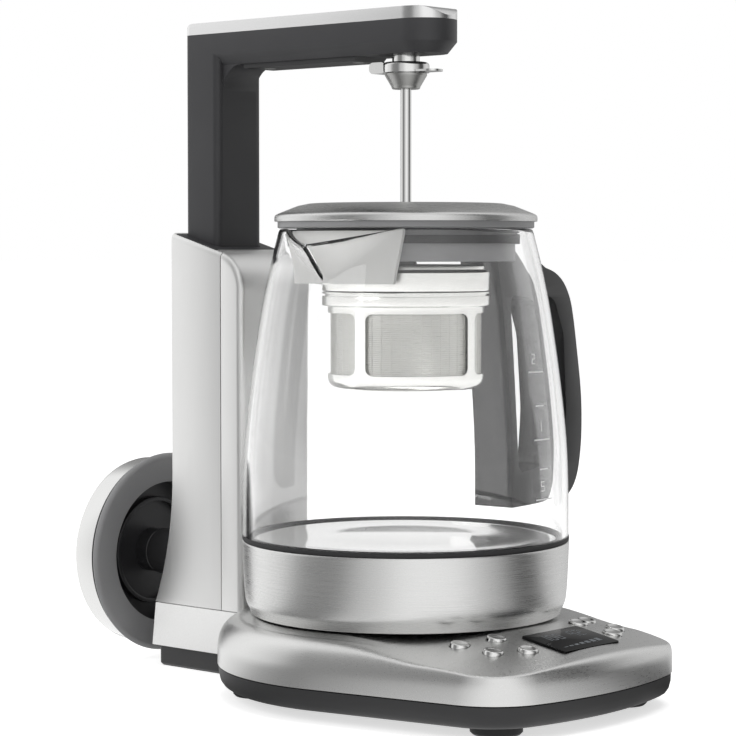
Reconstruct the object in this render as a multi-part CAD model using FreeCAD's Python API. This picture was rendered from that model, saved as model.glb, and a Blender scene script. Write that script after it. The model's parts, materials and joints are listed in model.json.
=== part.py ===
"""Automatic tea maker: a glass jug on a power base, with a tower whose arm lowers a tea basket.

Millimetres, +Z up. The drawing is laid out from the jug's vertical axis and the table:
-Y is the front (control panel), +Y the back (tower), +X the handle side.
The finished pieces are shifted once, so that the origin lies under the middle of the whole thing.
"""
import FreeCAD, Part
import math
import os

V = FreeCAD.Vector

# Jug
JUG_SEAT_Z = 37.4
JUG_RING_RADIUS = 72.8
JUG_RING_FOOT_RADIUS = 68.9
JUG_RING_TOP_Z = 69.8
JUG_RING_WALL = 1.2
JUG_RING_LIP = 3.0
GLASS_SEAL_HEIGHT = 2.2
GLASS_BOTTOM_RADIUS = 72.5
GLASS_BELLY_RADIUS = 71.4
GLASS_BELLY_Z = 116.0
GLASS_SHOULDER_RADIUS = 64.2
GLASS_SHOULDER_Z = 172.0
GLASS_TOP_RADIUS = 56.2
GLASS_TOP_Z = 207.6
GLASS_WALL = 2.6
JUG_TURN_DEG = 5.0

# Spout
SPOUT_REACH = 75.4
SPOUT_TIP_Z = 200.4
SPOUT_ROOT_Z = 185.7
SPOUT_HALF_ANGLE_DEG = 34.0
SPOUT_WALL = 2.2

# Handle
HANDLE_REACH = 131.5
HANDLE_WIDTH = 22.0
HANDLE_GRIP_THICKNESS = 14.0
HANDLE_STRAP_THICKNESS = 7.0
HANDLE_TOP_Z = 205.0
HANDLE_GRIP_TOP_Z = 190.0
HANDLE_BOTTOM_Z = 78.0
HANDLE_CLAMP_REACH = 9.4
FINGER_GAP_TOP = 27.0
FINGER_GAP_BOTTOM = 16.0

# Lid on the jug
LID_RADIUS = 58.3
LID_TOP_RADIUS = 42.0
LID_RIM_Z = 211.8
LID_BEVEL_Z = 215.0
LID_TOP_Z = 219.2
LID_SHELL = 1.2
LID_SKIRT_RADIUS = 48.5
LID_SKIRT_BOTTOM_Z = 193.2
LID_WALL = 2.0
LID_BUSH_RADIUS = 4.5
LID_TUBE_WALL = 3.0
LID_SEAL_Z = 201.0
LID_SEAL_HEIGHT = 3.5
LID_SEAL_BULGE = 2.1

# Lift rod, basket and coupling
ROD_RADIUS = 2.4
ROD_TOP_Z = 288.0
BASKET_RADIUS = 34.7
BASKET_CAP_RADIUS = 37.2
BASKET_BOTTOM_Z = 137.0
BASKET_JOIN_Z = 173.2
BASKET_CAP_BOTTOM_Z = 180.2
BASKET_CAP_TOP_Z = 191.8
BASKET_WALL = 1.0
MESH_WALL = 0.4
BASKET_NECK_RADIUS = 33.4
BASKET_CORNER = 5.0
BASKET_FLOOR = 2.5
BASKET_FOOT_RADIUS = 1.4
BASKET_FOOT_HEIGHT = 0.9
BASKET_BOSS_RADIUS = 5.0
BASKET_CAP_STEP = 2.4
ROD_SOCKET_DEPTH = 6.0
WINDOW_BOTTOM_Z = 143.7
WINDOW_TOP_Z = 170.6
WINDOW_CORNER = 3.0
WINDOW_STRIP_DEG = 9.0
WINDOW_TURN_DEG = 51.0
SOCKET_TOP_RADIUS = 9.35
SOCKET_TIP_RADIUS = 6.1
SOCKET_TIP_Z = 269.4
SOCKET_TOP_Z = 276.3
HUB_RADIUS = 10.4
NECK_RADIUS = 6.1
LEVER_REACH = 17.6
LEVER_FRONT_REACH = 19.4
LEVER_WIDTH = 9.6
LEVER_HUB_HEIGHT = 4.6
LEVER_PLATE = 0.9

# Arm and column
COLUMN_WIDTH = 30.0
COLUMN_DEPTH = 21.4
ARM_BOTTOM_Z = 284.5
ARM_TOP_Z = 299.0
ARM_NOSE_REACH = 24.9
ARM_WALL = 2.0
ARM_CHAMFER = 5.0
ARM_INNER_FILLET = 12.0
CAP_HEIGHT = 5.4
CAP_END_ROUNDING = 4.8
UNDERPLATE_DROP = 2.1
UNDERPLATE_END_Y = 20.0
COLUMN_CORNER = 3.0

# Tower
TOWER_WIDTH = 44.4
TOWER_SETBACK = 2.9
TOWER_BACK_Y = 126.4
TOWER_BACK_TOP_Z = 206.4
TOWER_SHOULDER_Y = 93.4
TOWER_SHOULDER_Z = 197.2
TOWER_CURVE_Z = 178.0
TOWER_SEAM_Y = 94.0
TOWER_FLARE_Z = 92.0
TOWER_FOOT_BACK_Y = 140.8
TOWER_WALL = 1.6
TOWER_CORNER = 3.0
PLINTH_TOP_Z = 30.3
PLINTH_BOTTOM_Z = 9.8
PLINTH_BACK_Y = 138.4
BEZEL_THICKNESS = 3.0
BEZEL_SLEEVE = 22.0
FOOT_INSET = 2.0
GLAND_Y = 131.0
GLAND_Z = 20.0
GLAND_RADIUS = 4.5
GLAND_COLLAR_RADIUS = 6.4
CORD_RADIUS = 3.0

# Power base
BASE_RADIUS = 84.0
BASE_SIDE_LEAN_DEG = 11.0
BASE_FRONT_REACH = 116.0
BASE_FRONT_CURVE = 176.0
BASE_CORNER = 32.0
BASE_TOP_Z = 37.0
SHELL_BOTTOM_Z = 15.0
SHELL_WALL = 1.6
SHOULDER_Z = 35.0
SHOULDER_INSET = 11.0
TRAY_BOTTOM_Z = 5.0
TRAY_TAPER = 4.0
TRAY_WALL = 2.5
FOOT_RADIUS = 11.0
FOOT_SETBACK = 14.0
FOOT_FRONT_SPREAD = 44.0
CONNECTOR_RADIUS = 15.0
CONNECTOR_TOP_Z = 46.0
CONNECTOR_FLANGE = 6.0
TONGUE_HALF = 12.0
TONGUE_END_Y = 98.0
PANEL_BREAK_Y = -77.0
PANEL_FLAT_Y = -18.0
PANEL_BACK_SAG = 0.4
PANEL_SLOPE_DEG = 10.3
PANEL_CROWN_SAG = 5.2
PANEL_CROWN_HALF = 58.0
DISPLAY_WIDTH = 38.6
DISPLAY_DEPTH = 23.4
DISPLAY_Y = -92.0
DISPLAY_THICKNESS = 2.0
DISPLAY_RAISE = 0.3
BUTTON_RADIUS = 4.2
BUTTON_PROUD = 1.4
BUTTON_TRAVEL = 0.8
BUTTON_DEPTH = 6.0
BUTTON_FLANGE = 1.0
BUTTON_ROUNDING = 0.7
BUTTON_SPOTS = ((44.0, -67.5), (28.5, -74.5), (42.5, -84.0), (29.5, -92.0))

# Spare lid on the back of the tower
SPARE_LID_RADIUS = 48.0
SPARE_LID_BAND_RADIUS = 45.0
SPARE_LID_FRONT_Y = 152.0
SPARE_LID_DEPTH = 20.6
SPARE_LID_Z = 51.6
SPARE_LID_BOWL_RADIUS = 34.0
SPARE_LID_WALL = 1.6
SPARE_LID_GROOVE = 2.4
SPARE_LID_RIM = 2.2
SPARE_LID_FLOOR_DEPTH = 12.6
DOCK_RADIUS = 11.0
DOCK_NOSE_RADIUS = 7.5
DOCK_NOSE = 8.0
DOCK_STANDOFF = 4.0

# Moving ranges and clearances
ARM_TRAVEL = 46.0
SLIDE_CLEARANCE = 0.3
SEAT_CLEARANCE = 0.3
SHAFT_CLEARANCE = 0.05
SEAM_GAP = 0.4

# Small hardware
SCREW_RADIUS = 1.5
SCREW_HEAD_RADIUS = 2.8
SCREW_HEAD_HEIGHT = 1.6
SCREW_LENGTH = 9.0
BOSS_RADIUS = 4.0
POST_RADIUS = 2.5
LEAD_SCREW_RADIUS = 3.0
LEAD_SCREW_TOP_Z = 184.0
BEARING_RADIUS = 6.0
NUT_HEIGHT = 12.0
BOARD_THICKNESS = 1.6
BOARD_WIDTH = 104.0
BOARD_DEPTH = 40.0
BOARD_SETBACK = 10.0
SWITCH_HEIGHT = 1.4
SWITCH_RADIUS = 1.8
MOTOR_RADIUS = 10.7
MOTOR_HEIGHT = 24.0
GEARBOX_TOP_Z = 58.0
SHELF_THICKNESS = 2.5

# Worked-out places
TOWER_FRONT_Y = BASE_RADIUS - TOWER_SETBACK
COLUMN_BACK_Y = TOWER_BACK_Y - TOWER_WALL - SLIDE_CLEARANCE
COLUMN_FRONT_Y = COLUMN_BACK_Y - COLUMN_DEPTH
COLUMN_Y = (COLUMN_BACK_Y + COLUMN_FRONT_Y) / 2
SHELF_TOP_Z = GEARBOX_TOP_Z + SHELF_THICKNESS
COLUMN_BOTTOM_Z = SHELF_TOP_Z + ARM_TRAVEL + 2.0
SPARE_LID_BACK_Y = SPARE_LID_FRONT_Y + SPARE_LID_DEPTH
HANDLE_TIP_X = HANDLE_REACH * math.cos(math.radians(JUG_TURN_DEG))
ORIGIN_X = (HANDLE_TIP_X - BASE_RADIUS) / 2
ORIGIN_Y = (SPARE_LID_BACK_Y - BASE_FRONT_REACH) / 2
PANEL_NORMAL = V(0, -math.sin(math.radians(PANEL_SLOPE_DEG)), math.cos(math.radians(PANEL_SLOPE_DEG)))
FLOOR_Z = JUG_RING_TOP_Z + 1.4
UP = V(0, 0, 1)
BOARD_Y = DISPLAY_Y + BOARD_SETBACK
TONGUE_Z = PLINTH_BOTTOM_Z + 3.0
ROD_FOOT_Z = BASKET_CAP_TOP_Z - ROD_SOCKET_DEPTH
DOCK_END_Y = SPARE_LID_FRONT_Y + DOCK_STANDOFF
LID_DECK_Z = GLASS_TOP_Z + SEAT_CLEARANCE


def box(x0, x1, y0, y1, z0, z1):
    return Part.makeBox(x1 - x0, y1 - y0, z1 - z0, V(x0, y0, z0))


def cylinder(radius, z0, z1, x=0.0, y=0.0):
    return Part.makeCylinder(radius, z1 - z0, V(x, y, z0))


def ring(outer, inner, z0, z1, x=0.0, y=0.0):
    return cylinder(outer, z0, z1, x, y).cut(cylinder(inner, z0 - 1, z1 + 1, x, y))


def rounded_post(x0, x1, y0, y1, z0, z1, radius):
    """A box whose four upright edges are rounded."""
    body = box(x0, x1, y0, y1, z0, z1)
    return body.makeFillet(radius, upright_edges(body))


def edges_along(shape, direction):
    """The straight edges of a shape that run along a direction."""
    straight = [e for e in shape.Edges if e.Curve.TypeId == "Part::GeomLine"]
    return [e for e in straight if abs(e.tangentAt(e.FirstParameter).dot(direction)) > 0.99]


def upright_edges(shape):
    return edges_along(shape, UP)


def turned(points):
    """A solid of revolution about the jug's axis, from (radius, height) points."""
    corners = [V(r, 0, z) for r, z in points]
    return Part.Face(Part.makePolygon(corners + [corners[0]])).revolve(V(0, 0, 0), UP, 360)


def side_prism(points, x0, x1):
    """A prism across the width, from (y, z) points."""
    corners = [V(x0, y, z) for y, z in points]
    return Part.Face(Part.makePolygon(corners + [corners[0]])).extrude(V(x1 - x0, 0, 0))


def merge(shapes):
    body = shapes[0]
    for other in shapes[1:]:
        body = body.fuse(other)
    return body.removeSplitter()


def jug_turn(shape):
    """The jug stands turned a little on its round connector."""
    turned_shape = shape.copy()
    turned_shape.rotate(V(0, 0, 0), UP, JUG_TURN_DEG)
    return turned_shape


# Power base

def base_outline(inset, z):
    """Outline of the power base: round at the back, leaning sides, rounded corners, bowed front."""
    radius = BASE_RADIUS - inset
    corner = BASE_CORNER - inset
    front = BASE_FRONT_CURVE - inset
    front_centre = BASE_FRONT_CURVE - BASE_FRONT_REACH
    lean = math.radians(BASE_SIDE_LEAN_DEG)
    back_y = TOWER_FRONT_Y - SEAT_CLEARANCE - inset
    start = V(radius * math.cos(lean), -radius * math.sin(lean), z)
    along = V(-math.sin(lean), -math.cos(lean), 0)
    inward = V(-math.cos(lean), math.sin(lean), 0)
    base_point = start + inward * corner
    offset = base_point - V(0, front_centre, z)
    reach = front - corner
    half = offset.dot(along)
    length = -half + math.sqrt(half * half - offset.dot(offset) + reach * reach)
    centre = base_point + along * length
    side_end = centre - inward * corner
    towards = (centre - V(0, front_centre, z)).normalize()
    front_start = centre + towards * corner
    bisector = (towards - inward).normalize()
    corner_mid = centre + bisector * corner
    back_x = math.sqrt(radius * radius - back_y * back_y)
    back_corner = V(back_x, back_y, z)
    back_mid_angle = (math.atan2(back_y, back_x) - lean) / 2
    back_mid = V(radius * math.cos(back_mid_angle), radius * math.sin(back_mid_angle), z)

    def mirror(p):
        return V(-p.x, p.y, p.z)

    front_mid = V(0, front_centre - front, z)
    edges = [
        Part.LineSegment(mirror(back_corner), back_corner).toShape(),
        Part.Arc(back_corner, back_mid, start).toShape(),
        Part.LineSegment(start, side_end).toShape(),
        Part.Arc(side_end, corner_mid, front_start).toShape(),
        Part.Arc(front_start, front_mid, mirror(front_start)).toShape(),
        Part.Arc(mirror(front_start), mirror(corner_mid), mirror(side_end)).toShape(),
        Part.LineSegment(mirror(side_end), mirror(start)).toShape(),
        Part.Arc(mirror(start), mirror(back_mid), mirror(back_corner)).toShape(),
    ]
    return Part.Wire(edges)


def slab(inset, z0, z1):
    return Part.Face(base_outline(inset, z0)).extrude(V(0, 0, z1 - z0))


def panel_centre_height(y):
    """Height of the top on the centre line: level round the jug, then sloping to the front."""
    past = PANEL_BREAK_Y - y
    if past <= 0:
        return BASE_TOP_Z
    return BASE_TOP_Z - past * math.tan(math.radians(PANEL_SLOPE_DEG))


def panel_sag(y):
    """How far the top falls away at the sides: nearly flat at the back, crowned at the front."""
    share = min(1.0, max(0.0, (PANEL_FLAT_Y - y) / (PANEL_FLAT_Y - PANEL_BREAK_Y)))
    smooth = share * share * (3 - 2 * share)
    return PANEL_BACK_SAG + PANEL_CROWN_SAG * smooth


def panel_height(x, y):
    sag = panel_sag(y)
    crown = (PANEL_CROWN_HALF ** 2 + sag ** 2) / (2 * sag)
    return panel_centre_height(y) - (crown - math.sqrt(crown * crown - x * x))


def crown_solid(drop):
    """Everything below the crowned top surface, lowered by drop."""
    half = BASE_RADIUS + 6
    run = PANEL_BREAK_Y - PANEL_FLAT_Y
    bends = [PANEL_FLAT_Y + run * step / 6 for step in range(7)]
    sections = []
    for y in [half] + bends + [-BASE_FRONT_REACH - 8]:
        edge = panel_height(half, y) - drop
        middle = panel_height(0, y) - drop
        arc = Part.Arc(V(-half, y, edge), V(0, y, middle), V(half, y, edge)).toShape()
        right = Part.LineSegment(V(half, y, edge), V(half, y, 0)).toShape()
        bottom = Part.LineSegment(V(half, y, 0), V(-half, y, 0)).toShape()
        left = Part.LineSegment(V(-half, y, 0), V(-half, y, edge)).toShape()
        sections.append(Part.Wire([arc, right, bottom, left]))
    return Part.makeLoft(sections, True, True)


def shell_body(wall, z0):
    """The base's outer form, drawn in by a wall thickness."""
    rise = SHOULDER_Z - SHELL_BOTTOM_Z
    wires = []
    steps = ((0.0, 0.0), (0.0, 0.36), (0.05, 0.48), (0.17, 0.62), (0.38, 0.76), (0.66, 0.89), (1.0, 1.0))
    for share, height in steps:
        wires.append(base_outline(wall + share * SHOULDER_INSET, SHELL_BOTTOM_Z + height * rise))
    side = Part.makeLoft(wires, True, True)
    lift = slab(wall + SHOULDER_INSET, SHOULDER_Z, BASE_TOP_Z + 2)
    skirt = slab(wall, z0, SHELL_BOTTOM_Z) if z0 < SHELL_BOTTOM_Z else None
    parts = [side, lift] + ([skirt] if skirt else [])
    return merge(parts).common(crown_solid(wall))


def along_normal(radius, x, y, below, above):
    """A cylinder square to the sloping panel, through the top surface at x, y."""
    foot = V(x, y, panel_height(x, y)) - PANEL_NORMAL * below
    return Part.makeCylinder(radius, below + above, foot, PANEL_NORMAL)


def display_block(width, depth, below, above):
    """A block lying in the panel's slope, centred on the display."""
    block = Part.makeBox(width, depth, below + above, V(-width / 2, -depth / 2, -below))
    block.rotate(V(0, 0, 0), V(1, 0, 0), PANEL_SLOPE_DEG)
    block.translate(V(0, DISPLAY_Y, panel_height(0, DISPLAY_Y)))
    return block


def button_places():
    places = []
    for number, (x, y) in enumerate(BUTTON_SPOTS, 1):
        places.append(("button_left_%d" % number, -x, y))
        places.append(("button_right_%d" % number, x, y))
    return places


def base_shell():
    body = shell_body(0.0, SHELL_BOTTOM_Z)
    seat = cylinder(JUG_RING_FOOT_RADIUS + 1.5, SHELL_BOTTOM_Z, BASE_TOP_Z)
    rear = box(-BASE_RADIUS, BASE_RADIUS, -BASE_RADIUS, TOWER_FRONT_Y - SEAT_CLEARANCE, 0, BASE_TOP_Z + 1)
    body = merge([body, seat.common(rear)])
    hollow = shell_body(SHELL_WALL, SHELL_BOTTOM_Z - 1)
    body = body.cut(hollow)
    body = body.cut(cylinder(CONNECTOR_RADIUS + SEAT_CLEARANCE, 0, BASE_TOP_Z + 5))
    body = body.cut(display_block(DISPLAY_WIDTH + 0.4, DISPLAY_DEPTH + 0.4, 6, 6))
    for name, x, y in button_places():
        body = body.cut(along_normal(BUTTON_RADIUS + SLIDE_CLEARANCE, x, y, BUTTON_DEPTH, 4))
    return body


def board_drop():
    """Depth of the board's top below the centre line of the panel, measured upright."""
    slope = math.tan(math.radians(PANEL_SLOPE_DEG))
    lowest = max(panel_centre_height(DISPLAY_Y) - (DISPLAY_Y - y) * slope - panel_height(x, y)
                 for name, x, y in button_places())
    return lowest + BUTTON_DEPTH + SWITCH_HEIGHT + 0.6


def board_bottom(y):
    slope = math.tan(math.radians(PANEL_SLOPE_DEG))
    return panel_centre_height(DISPLAY_Y) + (y - DISPLAY_Y) * slope - board_drop() - BOARD_THICKNESS * 1.02


def board_posts():
    half_x = BOARD_WIDTH / 2 - 4
    half_y = BOARD_DEPTH / 2 - 5
    return [(sx * half_x, BOARD_Y + sy * half_y) for sx in (-1, 1) for sy in (-1, 1)]


def base_tray():
    """Dark plastic tray under the base: floor, wall, bosses, posts and the tongue into the tower."""
    low = base_outline(TRAY_TAPER, TRAY_BOTTOM_Z)
    mid = base_outline(TRAY_TAPER / 3, TRAY_BOTTOM_Z + 3.0)
    top = base_outline(0.0, SHELL_BOTTOM_Z)
    body = Part.makeLoft([low, mid, top], True, True)
    lip = slab(SHELL_WALL + SLIDE_CLEARANCE, SHELL_BOTTOM_Z, SHELL_BOTTOM_Z + 3)
    body = merge([body, lip])
    hollow = slab(TRAY_TAPER + TRAY_WALL, TRAY_BOTTOM_Z + TRAY_WALL, SHELL_BOTTOM_Z + 5)
    body = body.cut(hollow)
    floor = TRAY_BOTTOM_Z + TRAY_WALL - 0.5
    for x, y in screw_spots():
        body = body.fuse(cylinder(BOSS_RADIUS, floor, screw_boss_top(x, y), x, y))
    for x, y in board_posts():
        body = body.fuse(cylinder(POST_RADIUS, floor, board_bottom(y - POST_RADIUS), x, y))
    tongue = box(-TONGUE_HALF, TONGUE_HALF, TOWER_FRONT_Y - 6, TONGUE_END_Y, TONGUE_Z, SHELL_BOTTOM_Z)
    body = body.fuse(tongue)
    head_top = TRAY_BOTTOM_Z + SCREW_HEAD_HEIGHT
    for x, y in screw_spots():
        body = body.cut(cylinder(SCREW_RADIUS, TRAY_BOTTOM_Z - 1, TRAY_BOTTOM_Z + SCREW_LENGTH, x, y))
        body = body.cut(cylinder(SCREW_HEAD_RADIUS, TRAY_BOTTOM_Z - 1, head_top, x, y))
    return body.removeSplitter()


def foot_spots():
    front_y = BASE_FRONT_REACH - TRAY_TAPER - FOOT_RADIUS - FOOT_SETBACK
    front_x = FOOT_FRONT_SPREAD
    back = (BASE_RADIUS - TRAY_TAPER - FOOT_RADIUS - 3) * math.sqrt(0.5)
    return [(-front_x, -front_y), (front_x, -front_y), (-back, back), (back, back)]


def screw_spots():
    """Case screws clear of the panel: two beside the jug's front, two behind its middle."""
    front_x = BASE_RADIUS - SHOULDER_INSET - 12
    front_y = PANEL_BREAK_Y + 22
    back = (BASE_RADIUS - SHOULDER_INSET) * math.sqrt(0.5) - 6
    return [(-front_x, front_y), (front_x, front_y), (-back, back), (back, back)]


def screw_boss_top(x, y):
    return panel_height(x, y) - SHELL_WALL - 3.5


def base_feet():
    feet = []
    for x, y in foot_spots():
        foot = cylinder(FOOT_RADIUS, 0, TRAY_BOTTOM_Z, x, y)
        feet.append(foot.makeChamfer(1.0, [e for e in foot.Edges if e.BoundBox.ZMax < 0.01]))
    return Part.makeCompound(feet)


def screw(x, y, z):
    """A screw driven upwards, with its head at z."""
    head = cylinder(SCREW_HEAD_RADIUS - 0.1, z, z + SCREW_HEAD_HEIGHT, x, y)
    return head.fuse(cylinder(SCREW_RADIUS - 0.02, z, z + SCREW_LENGTH, x, y)).removeSplitter()


def base_screws():
    return Part.makeCompound([screw(x, y, TRAY_BOTTOM_Z) for x, y in screw_spots()])


def display_window():
    block = display_block(DISPLAY_WIDTH, DISPLAY_DEPTH, DISPLAY_THICKNESS - DISPLAY_RAISE, DISPLAY_RAISE)
    return block.makeFillet(1.2, edges_along(block, PANEL_NORMAL))


def display_module():
    """The display behind its window, standing on the control board."""
    deep = board_drop() * math.cos(math.radians(PANEL_SLOPE_DEG))
    return display_block(DISPLAY_WIDTH - 3, DISPLAY_DEPTH - 2.4, deep, DISPLAY_RAISE - DISPLAY_THICKNESS)


def control_board():
    """The printed board under the panel, with one push switch under each button."""
    slope = math.tan(math.radians(PANEL_SLOPE_DEG))
    corner = V(-BOARD_WIDTH / 2, -BOARD_DEPTH / 2, -BOARD_THICKNESS)
    board = Part.makeBox(BOARD_WIDTH, BOARD_DEPTH, BOARD_THICKNESS, corner)
    board.rotate(V(0, 0, 0), V(1, 0, 0), PANEL_SLOPE_DEG)
    height = panel_centre_height(DISPLAY_Y) + (BOARD_Y - DISPLAY_Y) * slope - board_drop()
    board.translate(V(0, BOARD_Y, height))
    for name, x, y in button_places():
        under = V(x, y, panel_height(x, y)) - PANEL_NORMAL * (BUTTON_DEPTH + 0.05)
        board_top = panel_centre_height(DISPLAY_Y) + (under.y - DISPLAY_Y) * slope - board_drop()
        height = (under.z - board_top) * PANEL_NORMAL.z + 0.5
        foot = under - PANEL_NORMAL * height
        board = board.fuse(Part.makeCylinder(SWITCH_RADIUS, height, foot, PANEL_NORMAL))
    return board.removeSplitter()


def button(x, y):
    body = along_normal(BUTTON_RADIUS, x, y, BUTTON_DEPTH - BUTTON_TRAVEL, BUTTON_PROUD)
    circles = [e for e in body.Edges if e.isClosed()]
    body = body.makeFillet(BUTTON_ROUNDING, [max(circles, key=lambda e: e.CenterOfMass.z)])
    below = BUTTON_DEPTH - BUTTON_TRAVEL
    flange = along_normal(BUTTON_RADIUS + BUTTON_FLANGE, x, y, below, BUTTON_FLANGE - below)
    return body.fuse(flange).removeSplitter()


def power_connector():
    """The round cordless connector that stands in the middle of the seat."""
    drum = cylinder(CONNECTOR_RADIUS, BASE_TOP_Z - 4, CONNECTOR_TOP_Z)
    drum = drum.makeFillet(1.5, [e for e in drum.Edges if e.BoundBox.ZMin > CONNECTOR_TOP_Z - 0.01])
    under_seat = BASE_TOP_Z - SHELL_WALL - SEAT_CLEARANCE
    flange = cylinder(CONNECTOR_RADIUS + CONNECTOR_FLANGE, under_seat - 2.0, under_seat)
    pillar = cylinder(8.0, TRAY_BOTTOM_Z + TRAY_WALL, BASE_TOP_Z - 3)
    slots = ring(11.5, 9.8, CONNECTOR_TOP_Z - 6, CONNECTOR_TOP_Z + 1)
    pin = cylinder(2.2, CONNECTOR_TOP_Z - 6, CONNECTOR_TOP_Z + 1)
    return merge([drum, flange, pillar]).cut(slots).cut(pin)


# Tower

def tower_profile(inset, bottom, top_drop):
    """Side outline of the tower: curved top front, sloping top, flared back."""
    front = TOWER_FRONT_Y + inset
    back = TOWER_BACK_Y - inset
    slope = (TOWER_BACK_TOP_Z - TOWER_SHOULDER_Z) / (TOWER_BACK_Y - TOWER_SHOULDER_Y)
    shoulder = V(0, TOWER_SHOULDER_Y, TOWER_SHOULDER_Z - top_drop)
    back_top = V(0, back, TOWER_SHOULDER_Z - top_drop + slope * (back - TOWER_SHOULDER_Y))
    curve_start = V(0, front, TOWER_CURVE_Z - top_drop)
    curve_mid = V(0, front + (TOWER_SHOULDER_Y - front) * 0.27, TOWER_CURVE_Z - top_drop
                  + (TOWER_SHOULDER_Z - TOWER_CURVE_Z) * 0.66)
    flare_rise = TOWER_FLARE_Z - PLINTH_TOP_Z
    flare_run = PLINTH_BACK_Y - TOWER_BACK_Y
    flare_radius = (flare_rise ** 2 + flare_run ** 2) / (2 * flare_run)

    def flare_y(z):
        if z >= TOWER_FLARE_Z:
            return back
        if z >= PLINTH_TOP_Z:
            return back + flare_radius - math.sqrt(flare_radius ** 2 - (TOWER_FLARE_Z - z) ** 2)
        share = (PLINTH_TOP_Z - z) / (PLINTH_TOP_Z - PLINTH_BOTTOM_Z)
        return back + flare_run + share * (TOWER_FOOT_BACK_Y - PLINTH_BACK_Y)

    edges = [
        Part.LineSegment(V(0, front, bottom), curve_start).toShape(),
        Part.Arc(curve_start, curve_mid, shoulder).toShape(),
        Part.LineSegment(shoulder, back_top).toShape(),
        Part.LineSegment(back_top, V(0, back, TOWER_FLARE_Z)).toShape(),
    ]
    flare_end = max(bottom, PLINTH_TOP_Z)
    middle_z = (TOWER_FLARE_Z + flare_end) / 2
    edges.append(Part.Arc(V(0, back, TOWER_FLARE_Z), V(0, flare_y(middle_z), middle_z),
                          V(0, flare_y(flare_end), flare_end)).toShape())
    last = V(0, flare_y(flare_end), flare_end)
    if bottom < PLINTH_TOP_Z:
        low = V(0, flare_y(bottom), bottom)
        edges.append(Part.LineSegment(last, low).toShape())
        last = low
    edges.append(Part.LineSegment(last, V(0, front, bottom)).toShape())
    return Part.Face(Part.Wire(edges))


def tower_block(inset, bottom, top_drop):
    face = tower_profile(inset, bottom, top_drop)
    width = TOWER_WIDTH - 2 * inset
    block = face.extrude(V(width, 0, 0))
    block.translate(V(-width / 2, 0, 0))
    return block


def rounded_tower(bottom):
    block = tower_block(0.0, bottom, 0.0)
    edges = [e for e in block.Edges if abs(e.BoundBox.XMax - e.BoundBox.XMin) < 0.01
             and e.BoundBox.YMax < TOWER_SHOULDER_Y + 0.1 and e.BoundBox.ZMax > bottom + 1]
    return block.makeFillet(TOWER_CORNER, edges)


def tower_skin():
    """The tower's two covers as one closed skin, open at the top for the column."""
    outer = rounded_tower(PLINTH_TOP_Z + SEAM_GAP)
    inner = tower_block(TOWER_WALL, PLINTH_TOP_Z - 5, TOWER_WALL)
    skin = outer.cut(inner)
    window = box(-bezel_half(), bezel_half(), bezel_front(), TOWER_BACK_Y - TOWER_WALL, TOWER_SHOULDER_Z - 6,
                 TOWER_BACK_TOP_Z + 10)
    return skin.cut(window)


def bezel_half():
    return TOWER_WIDTH / 2 - TOWER_WALL


def bezel_front():
    return COLUMN_FRONT_Y - 5.0


def front_cover():
    keep = box(-TOWER_WIDTH, TOWER_WIDTH, TOWER_FRONT_Y - 5, TOWER_SEAM_Y - SEAM_GAP / 2, 0, 400)
    return tower_skin().common(keep)


def rear_cover():
    keep = box(-TOWER_WIDTH, TOWER_WIDTH, TOWER_SEAM_Y + SEAM_GAP / 2, TOWER_FOOT_BACK_Y + 20, 0, 400)
    return tower_skin().common(keep).cut(dock_bore())


def dock_bore():
    """The hole through the back for the spare lid's dock."""
    return Part.makeCylinder(DOCK_RADIUS + 0.1, 60, V(0, TOWER_BACK_Y - 20, SPARE_LID_Z), V(0, 1, 0))


def top_bezel():
    """Dark plastic cover in the sloping top, which guides the column."""
    outer = tower_block(0.0, PLINTH_TOP_Z, 0.0)
    lower = tower_block(0.0, PLINTH_TOP_Z, BEZEL_THICKNESS)
    plate = outer.cut(lower)
    half = bezel_half() - 0.1
    plate = plate.common(box(-half, half, bezel_front() + 0.1, TOWER_BACK_Y - TOWER_WALL - 0.05, 0, 400))
    sleeve = rounded_post(-COLUMN_WIDTH / 2 - 3, COLUMN_WIDTH / 2 + 3, COLUMN_FRONT_Y - 3,
                          TOWER_BACK_Y - TOWER_WALL - 0.05, TOWER_SHOULDER_Z - BEZEL_SLEEVE,
                          TOWER_SHOULDER_Z, 1.0)
    body = merge([plate, sleeve])
    return body.cut(column_block(SLIDE_CLEARANCE, 0, 400))


def column_block(grow, z0, z1):
    half = COLUMN_WIDTH / 2 + grow
    front = COLUMN_FRONT_Y - grow
    back = COLUMN_BACK_Y + grow
    return rounded_post(-half, half, front, back, z0, z1, COLUMN_CORNER + grow)


def tower_plinth():
    outer = tower_block(0.0, PLINTH_BOTTOM_Z, 0.0)
    inner = tower_block(TOWER_WALL, PLINTH_BOTTOM_Z - 5, TOWER_WALL)
    band = box(-TOWER_WIDTH, TOWER_WIDTH, 0, 400, PLINTH_BOTTOM_Z, PLINTH_TOP_Z)
    skin = outer.cut(inner).common(band)
    edges = [e for e in upright_edges(skin) if e.BoundBox.YMax < TOWER_FRONT_Y + 0.1
             and abs(e.BoundBox.XMax) > TOWER_WIDTH / 2 - 0.1]
    skin = skin.makeFillet(1.2, edges)
    gland = Part.makeCylinder(GLAND_RADIUS + 0.1, 20, V(TOWER_WIDTH / 2 - 10, GLAND_Y, GLAND_Z), V(1, 0, 0))
    slot = box(-TONGUE_HALF - SEAM_GAP, TONGUE_HALF + SEAM_GAP, TOWER_FRONT_Y - 2, TOWER_FRONT_Y + 4,
               TONGUE_Z - 0.2, SHELL_BOTTOM_Z + 0.2)
    return skin.cut(gland).cut(slot)


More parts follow.
